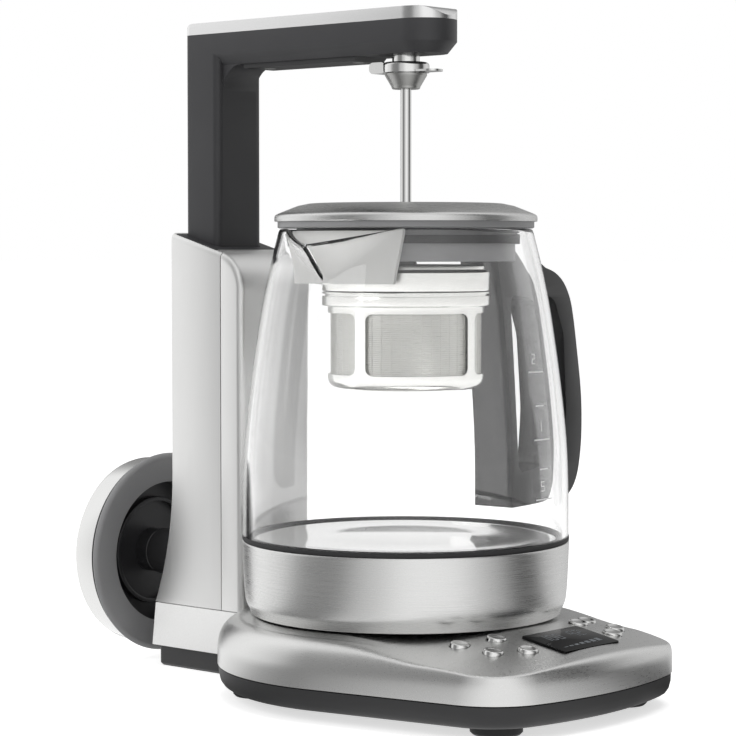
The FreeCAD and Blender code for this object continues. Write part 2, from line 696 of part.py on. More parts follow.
def tower_foot():
    """Dark foot under the plinth, a little smaller all round."""
    half = TOWER_WIDTH / 2 - FOOT_INSET
    foot = rounded_post(-half, half, TOWER_FRONT_Y + FOOT_INSET, TOWER_FOOT_BACK_Y - FOOT_INSET,
                        0, PLINTH_BOTTOM_Z, TOWER_CORNER)
    return foot.makeChamfer(1.2, [e for e in foot.Edges if e.BoundBox.ZMax < 0.01])


def cord_gland():
    side = V(1, 0, 0)
    collar = Part.makeCylinder(GLAND_COLLAR_RADIUS, 1.6, V(TOWER_WIDTH / 2, GLAND_Y, GLAND_Z), side)
    barrel = Part.makeCylinder(GLAND_RADIUS, 10, V(TOWER_WIDTH / 2 - 8, GLAND_Y, GLAND_Z), side)
    bore = Part.makeCylinder(CORD_RADIUS, 20, V(TOWER_WIDTH / 2 - 9, GLAND_Y, GLAND_Z), side)
    return merge([collar, barrel]).cut(bore)


def tower_frame():
    """Inner frame: a floor plate, two uprights that guide the column and a top bridge."""
    half = TOWER_WIDTH / 2 - TOWER_WALL - 0.2
    inner = COLUMN_WIDTH / 2 + SLIDE_CLEARANCE
    front = TOWER_FRONT_Y + TOWER_WALL + 4
    back = TOWER_BACK_Y - TOWER_WALL - 0.2
    low = PLINTH_BOTTOM_Z
    high = TOWER_SHOULDER_Z - 23
    left = box(-half, -inner, front + 8, back, low, high)
    right = box(inner, half, front + 8, back, low, high)
    floor = box(-half, half, front, back, low, low + 3)
    shelf = box(-half, half, COLUMN_FRONT_Y - 2, back, GEARBOX_TOP_Z, SHELF_TOP_Z)
    web = box(-half, half, COLUMN_FRONT_Y - 2 - SLIDE_CLEARANCE, COLUMN_FRONT_Y - SLIDE_CLEARANCE, low, high)
    frame = merge([left, right, floor, shelf, web])
    return frame.cut(cylinder(BEARING_RADIUS, GEARBOX_TOP_Z - 1, SHELF_TOP_Z + 1, 0, COLUMN_Y))


def lift_motor():
    body = cylinder(MOTOR_RADIUS, PLINTH_BOTTOM_Z + 3, PLINTH_BOTTOM_Z + 3 + MOTOR_HEIGHT, 0, COLUMN_Y)
    return body.makeChamfer(1.0, [e for e in body.Edges if e.BoundBox.ZMax - e.BoundBox.ZMin < 0.01])


def motor_gearbox():
    low = PLINTH_BOTTOM_Z + 3 + MOTOR_HEIGHT
    body = cylinder(MOTOR_RADIUS, low, GEARBOX_TOP_Z, 0, COLUMN_Y)
    return body.cut(cylinder(LEAD_SCREW_RADIUS + SHAFT_CLEARANCE, GEARBOX_TOP_Z - 6, 400, 0, COLUMN_Y))


def screw_bearing():
    bore = LEAD_SCREW_RADIUS + SHAFT_CLEARANCE
    return ring(BEARING_RADIUS - 0.02, bore, GEARBOX_TOP_Z, SHELF_TOP_Z, 0, COLUMN_Y)


def lead_screw():
    rod = cylinder(LEAD_SCREW_RADIUS, GEARBOX_TOP_Z - 5, LEAD_SCREW_TOP_Z, 0, COLUMN_Y)
    return rod.makeChamfer(0.6, [e for e in rod.Edges if e.BoundBox.ZMax - e.BoundBox.ZMin < 0.01])


def drive_nut():
    """The nut in the foot of the column, which climbs the lead screw."""
    half_x = COLUMN_WIDTH / 2 - ARM_WALL
    half_y = COLUMN_DEPTH / 2 - ARM_WALL
    block = rounded_post(-half_x, half_x, COLUMN_Y - half_y, COLUMN_Y + half_y, COLUMN_BOTTOM_Z,
                         COLUMN_BOTTOM_Z + NUT_HEIGHT, COLUMN_CORNER - ARM_WALL)
    return block.cut(cylinder(LEAD_SCREW_RADIUS + SHAFT_CLEARANCE, 0, 400, 0, COLUMN_Y))


def power_board():
    """The supply board, upright in front of the guide frame."""
    y = COLUMN_FRONT_Y - 2 - SLIDE_CLEARANCE - BOARD_THICKNESS
    half = COLUMN_WIDTH / 2 - 0.5
    plate = box(-half, half, y, y + BOARD_THICKNESS, 44, 150)
    relay = box(-half + 3, -half + 15, y - 8, y, 60, 78)
    capacitor = Part.makeCylinder(4.0, 12, V(half - 8, y - 4.0, 100), UP)
    transformer = box(-9, 9, y - 10, y, 112, 130)
    return merge([plate, relay, capacitor, transformer])


def limit_switches():
    """Two switches on the side of the guide frame that stop the column at each end."""
    x0 = COLUMN_WIDTH / 2 + SLIDE_CLEARANCE
    front = TOWER_FRONT_Y + TOWER_WALL + 12
    spots = (COLUMN_BOTTOM_Z - ARM_TRAVEL + 4, COLUMN_BOTTOM_Z + 6)
    x1 = TOWER_WIDTH / 2 - TOWER_WALL - 0.4
    return Part.makeCompound([box(x0 + 0.4, x1, front - 5.6, front, z, z + 10) for z in spots])


def lid_dock():
    """A round hub on the back of the tower, on which the spare lid is pushed."""
    start = TOWER_BACK_Y - 1.2
    flange = Part.makeCylinder(DOCK_RADIUS + 2, 1.5, V(0, start, SPARE_LID_Z), V(0, 1, 0))
    hub = Part.makeCylinder(DOCK_RADIUS, DOCK_END_Y - start, V(0, start, SPARE_LID_Z), V(0, 1, 0))
    nose = Part.makeCylinder(DOCK_NOSE_RADIUS, DOCK_NOSE, V(0, DOCK_END_Y, SPARE_LID_Z), V(0, 1, 0))
    return merge([flange, hub, nose])


# Arm

def arm_outline(inset, z):
    """The arm seen from above: a half circle at the nose, straight sides, square inside the column."""
    half = COLUMN_WIDTH / 2 - inset
    centre_y = -ARM_NOSE_REACH + COLUMN_WIDTH / 2
    back_y = COLUMN_BACK_Y - COLUMN_CORNER
    left = V(-half, centre_y, z)
    right = V(half, centre_y, z)
    nose = V(0, centre_y - half, z)
    edges = [
        Part.Arc(left, nose, right).toShape(),
        Part.LineSegment(right, V(half, back_y, z)).toShape(),
        Part.LineSegment(V(half, back_y, z), V(-half, back_y, z)).toShape(),
        Part.LineSegment(V(-half, back_y, z), left).toShape(),
    ]
    return Part.Wire(edges)


def arm_slab(z0, z1):
    """The full plan of arm and column between two heights."""
    bar = Part.Face(arm_outline(0.0, z0)).extrude(V(0, 0, z1 - z0))
    return merge([bar, column_block(0.0, z0, z1)])


def arm_outer():
    narrow = arm_outline(ARM_CHAMFER * 0.8, ARM_BOTTOM_Z)
    full = arm_outline(0.0, ARM_BOTTOM_Z + ARM_CHAMFER)
    bevel = Part.makeLoft([narrow, full], True, True)
    bar = arm_slab(ARM_BOTTOM_Z + ARM_CHAMFER, ARM_TOP_Z)
    post = column_block(0.0, COLUMN_BOTTOM_Z, ARM_TOP_Z)
    half = COLUMN_WIDTH / 2 - ARM_CHAMFER * 0.8
    fillet = ARM_INNER_FILLET
    web = box(-half, half, COLUMN_FRONT_Y - fillet, COLUMN_FRONT_Y + COLUMN_CORNER, ARM_BOTTOM_Z - fillet,
              ARM_BOTTOM_Z + 1)
    scoop_start = V(-COLUMN_WIDTH, COLUMN_FRONT_Y - fillet, ARM_BOTTOM_Z - fillet)
    scoop = Part.makeCylinder(fillet, COLUMN_WIDTH * 2, scoop_start, V(1, 0, 0))
    return merge([bar, bevel, post, web.cut(scoop)])


def arm_housing():
    """Hollow plastic arm and column in one moulding, open at the top under the cap."""
    body = arm_outer()
    half = COLUMN_WIDTH / 2 - ARM_WALL
    tunnel = box(-half, half, COLUMN_FRONT_Y + ARM_WALL, COLUMN_BACK_Y - ARM_WALL, COLUMN_BOTTOM_Z - 1,
                 ARM_TOP_Z + 1)
    channel = box(-half, half, half - ARM_NOSE_REACH, COLUMN_BACK_Y - ARM_WALL, ARM_BOTTOM_Z + ARM_CHAMFER,
                  ARM_TOP_Z + 1)
    body = body.cut(tunnel).cut(channel)
    for y in underplate_screws():
        body = body.cut(cylinder(SCREW_RADIUS, ARM_BOTTOM_Z - 1, ARM_TOP_Z, 0, y))
    return body.cut(cylinder(NECK_RADIUS, ARM_BOTTOM_Z - 1, ARM_TOP_Z, 0, 0))


def arm_cap():
    """Bright cap along the top of the arm, rounded down at both ends."""
    low = ARM_TOP_Z
    high = ARM_TOP_Z + CAP_HEIGHT
    nose = -ARM_NOSE_REACH
    back = COLUMN_BACK_Y
    bend = CAP_END_ROUNDING
    turn = bend * (1 - math.sqrt(0.5))
    cap = arm_slab(low, high)
    back_start = V(0, back, high - bend)
    back_end = V(0, back - bend, high)
    nose_end = V(0, nose + 2 * bend, high)
    nose_start = V(0, nose, low + 1.6)
    profile = [
        Part.LineSegment(V(0, nose, low), V(0, back, low)).toShape(),
        Part.LineSegment(V(0, back, low), back_start).toShape(),
        Part.Arc(back_start, V(0, back - turn, high - turn), back_end).toShape(),
        Part.LineSegment(back_end, nose_end).toShape(),
        Part.Arc(nose_end, V(0, nose + bend * 0.55, low + CAP_HEIGHT * 0.72), nose_start).toShape(),
        Part.LineSegment(nose_start, V(0, nose, low)).toShape(),
    ]
    side = Part.Face(Part.Wire(profile)).extrude(V(COLUMN_WIDTH + 2, 0, 0))
    side.translate(V(-COLUMN_WIDTH / 2 - 1, 0, 0))
    cap = cap.common(side)
    half = COLUMN_WIDTH / 2 - ARM_WALL - 0.1
    rib = box(-half, half, nose + half + 3, back - ARM_WALL - 0.1, low - 2, low + 0.5)
    hollow = box(1.5 - half, half - 1.5, nose + half + 5, back - ARM_WALL - 1.6, low - 3, high - 2.4)
    return merge([cap, rib]).cut(hollow)


def arm_underplate():
    """Thin service plate under the arm, between the column and the coupling."""
    half = COLUMN_WIDTH / 2 - ARM_CHAMFER
    start = COLUMN_FRONT_Y - ARM_INNER_FILLET - 0.5
    low = ARM_BOTTOM_Z - UNDERPLATE_DROP
    outline = [(UNDERPLATE_END_Y, ARM_BOTTOM_Z), (UNDERPLATE_END_Y + UNDERPLATE_DROP, low), (start, low),
               (start, ARM_BOTTOM_Z)]
    plate = side_prism(outline, -half, half)
    for y in underplate_screws():
        plate = plate.cut(cylinder(SCREW_RADIUS, 0, 400, 0, y))
        plate = plate.cut(cylinder(SCREW_HEAD_RADIUS, 0, low + SCREW_HEAD_HEIGHT, 0, y))
    return plate


def underplate_screws():
    return (UNDERPLATE_END_Y + 8, COLUMN_FRONT_Y - ARM_INNER_FILLET - 8)


def arm_screws():
    return Part.makeCompound([screw(0, y, ARM_BOTTOM_Z - UNDERPLATE_DROP) for y in underplate_screws()])


# Coupling, rod and basket

def coupling_hub():
    """Steel neck that hangs from the arm, on which the release lever slides."""
    neck = cylinder(NECK_RADIUS, SOCKET_TOP_Z, ARM_TOP_Z - 8)
    bore = cylinder(ROD_RADIUS + SHAFT_CLEARANCE, 0, ROD_TOP_Z + 0.3)
    return neck.cut(bore)


def release_lever():
    """Spring collar round the neck, with a finger tab behind and a thin plate in front."""
    low = SOCKET_TOP_Z + SEAT_CLEARANCE
    hub = cylinder(HUB_RADIUS, low, low + LEVER_HUB_HEIGHT)
    hub = hub.makeFillet(1.6, [e for e in hub.Edges if e.BoundBox.ZMin > low + LEVER_HUB_HEIGHT - 0.01])
    plate = box(-LEVER_WIDTH / 2, LEVER_WIDTH / 2, -LEVER_FRONT_REACH, HUB_RADIUS, low, low + LEVER_PLATE)
    plate = plate.makeFillet(4.0, [e for e in upright_edges(plate) if e.BoundBox.YMax < 0])
    tab = box(-LEVER_WIDTH / 2, LEVER_WIDTH / 2, HUB_RADIUS - 2.0, LEVER_REACH, low,
              low + LEVER_HUB_HEIGHT + 0.4)
    tab = tab.makeFillet(2.2, edges_along(tab, V(1, 0, 0)))
    body = merge([hub, plate, tab])
    return body.cut(cylinder(NECK_RADIUS + SHAFT_CLEARANCE, 0, 400))


def rod_socket():
    """Steel cone on the rod, pushed up into the neck."""
    height = SOCKET_TOP_Z - SOCKET_TIP_Z
    cone = Part.makeCone(SOCKET_TIP_RADIUS, SOCKET_TOP_RADIUS, height, V(0, 0, SOCKET_TIP_Z))
    return cone.cut(cylinder(ROD_RADIUS + SHAFT_CLEARANCE, 0, 400))


def lift_rod():
    rod = cylinder(ROD_RADIUS, ROD_FOOT_Z, ROD_TOP_Z)
    return rod.makeChamfer(0.6, [e for e in rod.Edges if e.BoundBox.ZMin > ROD_TOP_Z - 0.01])


def basket_cap():
    """Steel cap at the foot of the rod, under which the basket hangs."""
    edge = BASKET_CAP_RADIUS
    step = BASKET_CAP_RADIUS - BASKET_CAP_STEP
    step_z = BASKET_CAP_TOP_Z - BASKET_CAP_STEP
    outer = turned([(0, BASKET_CAP_BOTTOM_Z), (edge, BASKET_CAP_BOTTOM_Z), (edge, step_z - 0.8),
                    (step, step_z - 0.2), (step, BASKET_CAP_TOP_Z), (0, BASKET_CAP_TOP_Z)])
    inner = cylinder(BASKET_NECK_RADIUS + SEAT_CLEARANCE, BASKET_CAP_BOTTOM_Z - 1,
                     BASKET_CAP_TOP_Z - 2 * BASKET_WALL)
    boss = cylinder(BASKET_BOSS_RADIUS, ROD_FOOT_Z, BASKET_CAP_TOP_Z + 1.5)
    return merge([outer.cut(inner), boss]).cut(cylinder(ROD_RADIUS, ROD_FOOT_Z, BASKET_CAP_TOP_Z + 5))


def basket_frame():
    """The basket's steel wall: bayonet ring and neck, four window openings and a rounded bottom."""
    cup = basket_cup()
    collar = ring(BASKET_CAP_RADIUS, BASKET_RADIUS - BASKET_WALL, BASKET_JOIN_Z - 0.8,
                  BASKET_CAP_BOTTOM_Z - SEAT_CLEARANCE)
    groove_floor = BASKET_CAP_RADIUS - 1.2
    groove_top = BASKET_CAP_BOTTOM_Z - 1.2
    groove = ring(BASKET_CAP_RADIUS + 1, groove_floor, groove_top - 1.0, groove_top)
    neck_inside = BASKET_NECK_RADIUS - BASKET_WALL
    neck = ring(BASKET_NECK_RADIUS, neck_inside, groove_top - 0.3, BASKET_CAP_TOP_Z - 5)
    tie = ring(groove_floor, neck_inside, groove_top - 1.8, groove_top)
    cup = merge([cup, collar.cut(groove), tie, neck])
    for number in range(4):
        cup = cup.cut(basket_window(number))
    for number in range(4):
        angle = math.radians(WINDOW_TURN_DEG - 45 + 90 * number)
        out = BASKET_RADIUS - BASKET_CORNER - BASKET_FOOT_RADIUS - 1
        foot = cylinder(BASKET_FOOT_RADIUS, BASKET_BOTTOM_Z - BASKET_FOOT_HEIGHT, BASKET_BOTTOM_Z + 0.5,
                        out * math.cos(angle), out * math.sin(angle))
        cup = cup.fuse(foot)
    return cup.removeSplitter()


def basket_cup():
    """The cup alone: upright wall, rounded corner, flat floor."""
    corner = BASKET_CORNER
    cut_corner = corner * (1 - math.sqrt(0.5))
    centre = V(0, 0, BASKET_BOTTOM_Z)
    low = V(BASKET_RADIUS - corner, 0, BASKET_BOTTOM_Z)
    mid = V(BASKET_RADIUS - cut_corner, 0, BASKET_BOTTOM_Z + cut_corner)
    up = V(BASKET_RADIUS, 0, BASKET_BOTTOM_Z + corner)
    top = V(BASKET_RADIUS, 0, BASKET_JOIN_Z)
    top_centre = V(0, 0, BASKET_JOIN_Z)
    edges = [
        Part.LineSegment(centre, low).toShape(),
        Part.Arc(low, mid, up).toShape(),
        Part.LineSegment(up, top).toShape(),
        Part.LineSegment(top, top_centre).toShape(),
        Part.LineSegment(top_centre, centre).toShape(),
    ]
    cup = Part.Face(Part.Wire(edges)).revolve(V(0, 0, 0), UP, 360)
    return cup.cut(cylinder(BASKET_RADIUS - BASKET_WALL, BASKET_BOTTOM_Z + BASKET_FLOOR, BASKET_JOIN_Z + 1))


def basket_window(number):
    """A rounded window through the wall, between two strips."""
    span = 90.0 - WINDOW_STRIP_DEG
    chord = 2 * BASKET_RADIUS * math.sin(math.radians(span / 2))
    inside = BASKET_RADIUS * math.cos(math.radians(span / 2)) - BASKET_WALL - 2
    cutter = box(inside, BASKET_RADIUS + 5, -chord / 2, chord / 2, WINDOW_BOTTOM_Z, WINDOW_TOP_Z)
    cutter = cutter.makeFillet(WINDOW_CORNER, edges_along(cutter, V(1, 0, 0)))
    cutter.rotate(V(0, 0, 0), UP, WINDOW_TURN_DEG + 90 * number)
    return cutter


def basket_mesh():
    """Fine strainer sleeve inside the windows, drawn as a thin closed tube."""
    outer = BASKET_RADIUS - BASKET_WALL - 0.05
    return ring(outer, outer - MESH_WALL, BASKET_BOTTOM_Z + BASKET_FLOOR, BASKET_JOIN_Z + 2)


# Jug

def glass_outer_face(inset, z0, z1):
    """Half outline of the glass: a smooth curve through the four measured radii."""
    points = [
        V(GLASS_BOTTOM_RADIUS - inset, 0, z0),
        V(GLASS_BELLY_RADIUS - inset, 0, GLASS_BELLY_Z),
        V(GLASS_SHOULDER_RADIUS - inset, 0, GLASS_SHOULDER_Z),
        V(GLASS_TOP_RADIUS - inset, 0, z1),
    ]
    curve = Part.BSplineCurve()
    curve.interpolate(points)
    edges = [
        curve.toShape(),
        Part.LineSegment(points[-1], V(0, 0, z1)).toShape(),
        Part.LineSegment(V(0, 0, z1), V(0, 0, z0)).toShape(),
        Part.LineSegment(V(0, 0, z0), points[0]).toShape(),
    ]
    return Part.Face(Part.Wire(edges))


def glass_body(inset, z0, z1):
    return glass_outer_face(inset, z0, z1).revolve(V(0, 0, 0), UP, 360)


def beak(inset, rise):
    """Pointed pouring beak: a wedge from the neck to the tip, cut flat by the sloping rim."""
    angle = math.radians(SPOUT_HALF_ANGLE_DEG)
    neck_radius = GLASS_TOP_RADIUS - 0.5
    top_z = GLASS_TOP_Z + rise
    low_z = SPOUT_ROOT_Z + inset * 1.6
    back_x = -GLASS_TOP_RADIUS / 2
    tip = V(-SPOUT_REACH + inset * 2.0, 0, SPOUT_TIP_Z + rise)
    left = V(-neck_radius * math.cos(angle) + inset * 0.4, neck_radius * math.sin(angle) - inset * 1.2, top_z)
    right = V(left.x, -left.y, left.z)
    root = V(inset * 0.9 - glass_radius(SPOUT_ROOT_Z), 0, low_z)
    back = V(back_x, 0, top_z)
    back_low = V(back_x, 0, low_z)
    faces = [
        (tip, left, root), (tip, root, right), (tip, right, left), (left, right, back),
        (left, back, back_low), (left, back_low, root), (right, back_low, back), (right, root, back_low),
    ]
    shell = Part.Shell([Part.Face(Part.makePolygon([a, b, c, a])) for a, b, c in faces])
    return Part.Solid(shell)


def jug_glass():
    bottom = JUG_RING_TOP_Z + GLASS_SEAL_HEIGHT
    outer = glass_body(0.0, bottom, GLASS_TOP_Z)
    inner = glass_body(GLASS_WALL, bottom - 1, GLASS_TOP_Z + 1)
    body = merge([outer, beak(0.0, 0.0)])
    return jug_turn(body.cut(inner).cut(beak(SPOUT_WALL, 6.0)).cut(beak_notch()))


def beak_notch():
    """Air above the sloping rim of the beak."""
    angle = math.radians(SPOUT_HALF_ANGLE_DEG)
    neck_x = -(GLASS_TOP_RADIUS - 0.5) * math.cos(angle)
    slope = (GLASS_TOP_Z - SPOUT_TIP_Z) / (SPOUT_REACH + neck_x)
    far = -SPOUT_REACH - 5
    far_z = GLASS_TOP_Z - slope * (neck_x - far)
    above = GLASS_TOP_Z + 5
    corners = [V(neck_x, -40, GLASS_TOP_Z), V(far, -40, far_z), V(far, -40, above), V(neck_x, -40, above)]
    return Part.Face(Part.makePolygon(corners + [corners[0]])).extrude(V(0, 80, 0))


def jug_base_ring():
    """Steel ring round the foot of the jug, turned in at the bottom."""
    radius = JUG_RING_RADIUS
    foot = JUG_RING_FOOT_RADIUS
    z = JUG_SEAT_Z
    outer = [V(foot - JUG_RING_LIP, 0, z), V(foot, 0, z)]
    side = V(radius - 0.9, 0, z + 12)
    bend = V(foot + 2.2, 0, z + 5.8)
    top = V(radius, 0, JUG_RING_TOP_Z)
    edges = [
        Part.LineSegment(outer[0], outer[1]).toShape(),
        Part.Arc(outer[1], bend, side).toShape(),
        Part.LineSegment(side, top).toShape(),
        Part.LineSegment(top, V(0, 0, JUG_RING_TOP_Z)).toShape(),
        Part.LineSegment(V(0, 0, JUG_RING_TOP_Z), V(0, 0, z)).toShape(),
        Part.LineSegment(V(0, 0, z), outer[0]).toShape(),
    ]
    body = Part.Face(Part.Wire(edges)).revolve(V(0, 0, 0), UP, 360)
    mouth = foot - JUG_RING_LIP
    inside = radius - JUG_RING_WALL
    floor = z + JUG_RING_WALL
    hollow = turned([(0, z - 1), (mouth, z - 1), (mouth, floor), (foot - 1.0, floor), (inside - 0.9, z + 12),
                     (inside, JUG_RING_TOP_Z - 1.2), (inside, JUG_RING_TOP_Z + 1), (0, JUG_RING_TOP_Z + 1)])
    return body.cut(hollow)


def glass_seal():
    """Dark ring that seals the glass to the foot and the floor."""
    top = JUG_RING_TOP_Z + GLASS_SEAL_HEIGHT
    return ring(GLASS_BOTTOM_RADIUS + 0.3, GLASS_BOTTOM_RADIUS - GLASS_WALL - 2.0, JUG_RING_TOP_Z, top)


def heating_plate():
    """Steel floor of the jug."""
    radius = GLASS_BOTTOM_RADIUS - GLASS_WALL - 2.0
    plate = cylinder(radius, FLOOR_Z - 1.2, FLOOR_Z)
    skirt = ring(radius, radius - 1.2, JUG_RING_TOP_Z - 6, FLOOR_Z - 0.6)
    return merge([plate, skirt])


def heating_element():
    """Ring heater pressed under the floor, with its two upright terminals."""
    body = Part.makeTorus(40, 4.2, V(0, 0, FLOOR_Z - 1.2 - 4.2))
    body = body.common(box(-60, 60, -60, 48, 0, 200).cut(box(-7, 7, 30, 60, 0, 200)))
    ends = [cylinder(2.0, FLOOR_Z - 20, FLOOR_Z - 5, x, 39) for x in (-9.2, 9.2)]
    return merge([body] + ends)


def jug_bottom_cover():
    """Plastic cover under the jug, with the recess for the connector."""
    z = JUG_SEAT_Z
    radius = JUG_RING_FOOT_RADIUS - JUG_RING_LIP - SEAT_CLEARANCE
    plate = cylinder(radius, z + 0.3, z + 3.0)
    wall = ring(CONNECTOR_RADIUS + 6.0, CONNECTOR_RADIUS + 3.6, z + 0.3, z + 12)
    body = merge([plate, wall])
    body = body.cut(cylinder(CONNECTOR_RADIUS + 3.6, z - 1, z + 5))
    step = ring(JUG_RING_FOOT_RADIUS - 1.4, radius - 2, z + JUG_RING_WALL + 0.05, z + 3.0)
    return merge([body, step])


def jug_connector():
    """The jug's half of the connector, over the drum in the base."""
    z = JUG_SEAT_Z
    top = CONNECTOR_TOP_Z + 7
    drum = cylinder(CONNECTOR_RADIUS + 3.5, z + 0.6, top)
    drum = drum.cut(cylinder(CONNECTOR_RADIUS + 1.0, z - 1, CONNECTOR_TOP_Z + 1))
    blade = ring(11.2, 10.1, CONNECTOR_TOP_Z - 4, CONNECTOR_TOP_Z + 2)
    pin = cylinder(1.8, CONNECTOR_TOP_Z - 4, CONNECTOR_TOP_Z + 2)
    post = cylinder(5.0, top - 1, FLOOR_Z - 1.2)
    return merge([drum, blade, pin, post])


def grip_curve():
    """Outside of the grip, from its top corner round the bow to its foot."""
    reach = HANDLE_REACH
    points = [
        V(reach - 33, 0, HANDLE_GRIP_TOP_Z),
        V(reach - 17, 0, HANDLE_GRIP_TOP_Z - 7),
        V(reach - 8, 0, HANDLE_GRIP_TOP_Z - 24),
        V(reach, 0, HANDLE_BOTTOM_Z + 40),
        V(reach - 3.5, 0, HANDLE_BOTTOM_Z + 13),
        V(reach - 16, 0, HANDLE_BOTTOM_Z),
    ]
    curve = Part.BSplineCurve()
    curve.interpolate(points)
    return curve.toShape(), points[0], points[-1]


def glass_radius(z):
    """Outer radius of the glass at a height, between the measured rings."""
    rings = [(JUG_RING_TOP_Z, GLASS_BOTTOM_RADIUS), (GLASS_BELLY_Z, GLASS_BELLY_RADIUS),
             (GLASS_SHOULDER_Z, GLASS_SHOULDER_RADIUS), (GLASS_TOP_Z, GLASS_TOP_RADIUS)]
    for (z0, r0), (z1, r1) in zip(rings, rings[1:]):
        if z <= z1:
            return r0 + (r1 - r0) * (z - z0) / (z1 - z0)
    return GLASS_TOP_RADIUS


def jug_handle():
    """Handle with a strap along the glass, a bowed grip and an open finger gap between them."""
    curve, corner_top, low_end = grip_curve()
    inner_x = GLASS_TOP_RADIUS - 10
    clamp_x = glass_radius(HANDLE_TOP_Z) + HANDLE_CLAMP_REACH
    edges = [
        Part.LineSegment(V(inner_x, 0, HANDLE_TOP_Z), V(clamp_x, 0, HANDLE_TOP_Z)).toShape(),
        Part.LineSegment(V(clamp_x, 0, HANDLE_TOP_Z), corner_top).toShape(),
        curve,
        Part.LineSegment(low_end, V(inner_x, 0, HANDLE_BOTTOM_Z)).toShape(),
        Part.LineSegment(V(inner_x, 0, HANDLE_BOTTOM_Z), V(inner_x, 0, HANDLE_TOP_Z)).toShape(),
    ]
    body = Part.Face(Part.Wire(edges)).extrude(V(0, HANDLE_WIDTH, 0))
    body.translate(V(0, -HANDLE_WIDTH / 2, 0))
    body = body.cut(finger_gap())
    body = body.cut(glass_body(-SEAT_CLEARANCE, JUG_RING_TOP_Z, GLASS_TOP_Z))
    body = body.cut(cylinder(JUG_RING_RADIUS + 0.2, 0, JUG_RING_TOP_Z + GLASS_SEAL_HEIGHT + 0.2))
    return jug_turn(body.removeSplitter())


def finger_gap():
    """The space between the strap and the grip."""
    strap = HANDLE_STRAP_THICKNESS
    grip = HANDLE_GRIP_THICKNESS
    top_z = HANDLE_TOP_Z - FINGER_GAP_TOP
    low_z = HANDLE_BOTTOM_Z + FINGER_GAP_BOTTOM
    top = V(glass_radius(top_z) + strap + 2, 0, top_z)
    low = V(glass_radius(low_z) + strap, 0, low_z)
    outer_top = V(HANDLE_REACH - grip - 12, 0, top_z - 2)
    outer_high = V(HANDLE_REACH - grip - 3, 0, top_z - 20)
    outer_mid = V(HANDLE_REACH - grip, 0, low_z + 28)
    outer_low = V(HANDLE_REACH - grip - 4, 0, low_z + 2)
    curve = Part.BSplineCurve()
    curve.interpolate([outer_top, outer_high, outer_mid, outer_low])
    edges = [
        Part.LineSegment(low, top).toShape(),
        Part.LineSegment(top, outer_top).toShape(),
        curve.toShape(),
        Part.LineSegment(outer_low, low).toShape(),
    ]
    gap = Part.Face(Part.Wire(edges)).extrude(V(0, HANDLE_WIDTH + 20, 0))
    gap.translate(V(0, -HANDLE_WIDTH / 2 - 10, 0))
    return gap


def spout_filter():
    """Strainer plate inside the neck, across the mouth of the beak."""
    outer = GLASS_TOP_RADIUS - GLASS_WALL - 1.0
    z0 = SPOUT_ROOT_Z - 2
    z1 = GLASS_TOP_Z - 1
    plate = ring(outer, outer - 1.4, z0, z1)
    wedge = box(-outer - 2, 0, -30, 30, z0, z1).common(
        side_prism([(-30, z1 + 1), (30, z1 + 1), (26, z0 - 1), (-26, z0 - 1)], -outer - 2, 0))
    return jug_turn(plate.common(wedge))


# Lid

def lid_cover():
    """Steel lid: flat top, bevelled rim."""
    inside = LID_RADIUS - LID_SHELL
    outer = turned([(0, LID_RIM_Z), (LID_RADIUS, LID_RIM_Z), (LID_RADIUS, LID_BEVEL_Z - 1.0),
                    (LID_RADIUS - 1.4, LID_BEVEL_Z), (LID_TOP_RADIUS + 6, LID_TOP_Z - 0.9),
                    (LID_TOP_RADIUS, LID_TOP_Z), (0, LID_TOP_Z)])
    inner = turned([(0, LID_RIM_Z - 1), (inside, LID_RIM_Z - 1), (inside, LID_RIM_Z + 1.6),
                    (LID_TOP_RADIUS, LID_TOP_Z - LID_SHELL - 0.6), (0, LID_TOP_Z - LID_SHELL)])
    return outer.cut(inner).cut(cylinder(LID_BUSH_RADIUS, 0, 400))


def lid_plug():
    """Plastic body of the lid: deck on the rim, skirt down into the neck."""
    deck = cylinder(LID_RADIUS - LID_SHELL - 0.1, LID_RIM_Z - 0.2, LID_RIM_Z + 1.4)
    rim = cylinder(LID_RADIUS - 1.4, LID_DECK_Z, LID_RIM_Z)
    skirt = ring(LID_SKIRT_RADIUS, LID_SKIRT_RADIUS - LID_WALL, LID_SKIRT_BOTTOM_Z, LID_RIM_Z)
    tube_top = LID_TOP_Z - LID_SHELL - SEAT_CLEARANCE
    tube = ring(LID_BUSH_RADIUS + LID_TUBE_WALL, LID_BUSH_RADIUS, LID_DECK_Z, tube_top)
    body = merge([deck, rim, skirt, tube])
    return body.cut(cylinder(LID_BUSH_RADIUS, 0, 400))


def lid_seal():
    """Soft ring on the skirt of the lid."""
    return ring(LID_SKIRT_RADIUS + LID_SEAL_BULGE, LID_SKIRT_RADIUS, LID_SEAL_Z, LID_SEAL_Z + LID_SEAL_HEIGHT)


def lid_bush():
    """Smooth bush in the lid, in which the rod slides."""
    return ring(LID_BUSH_RADIUS, ROD_RADIUS + SHAFT_CLEARANCE, LID_DECK_Z, LID_TOP_Z + 0.4)


# Spare lid

def along_back(shape):
    """Turns a shape drawn about +Z so that its axis points back, at the spare lid's place."""
    moved = shape.copy()
    moved.rotate(V(0, 0, 0), V(1, 0, 0), -90)
    moved.translate(V(0, SPARE_LID_FRONT_Y, SPARE_LID_Z))
    return moved


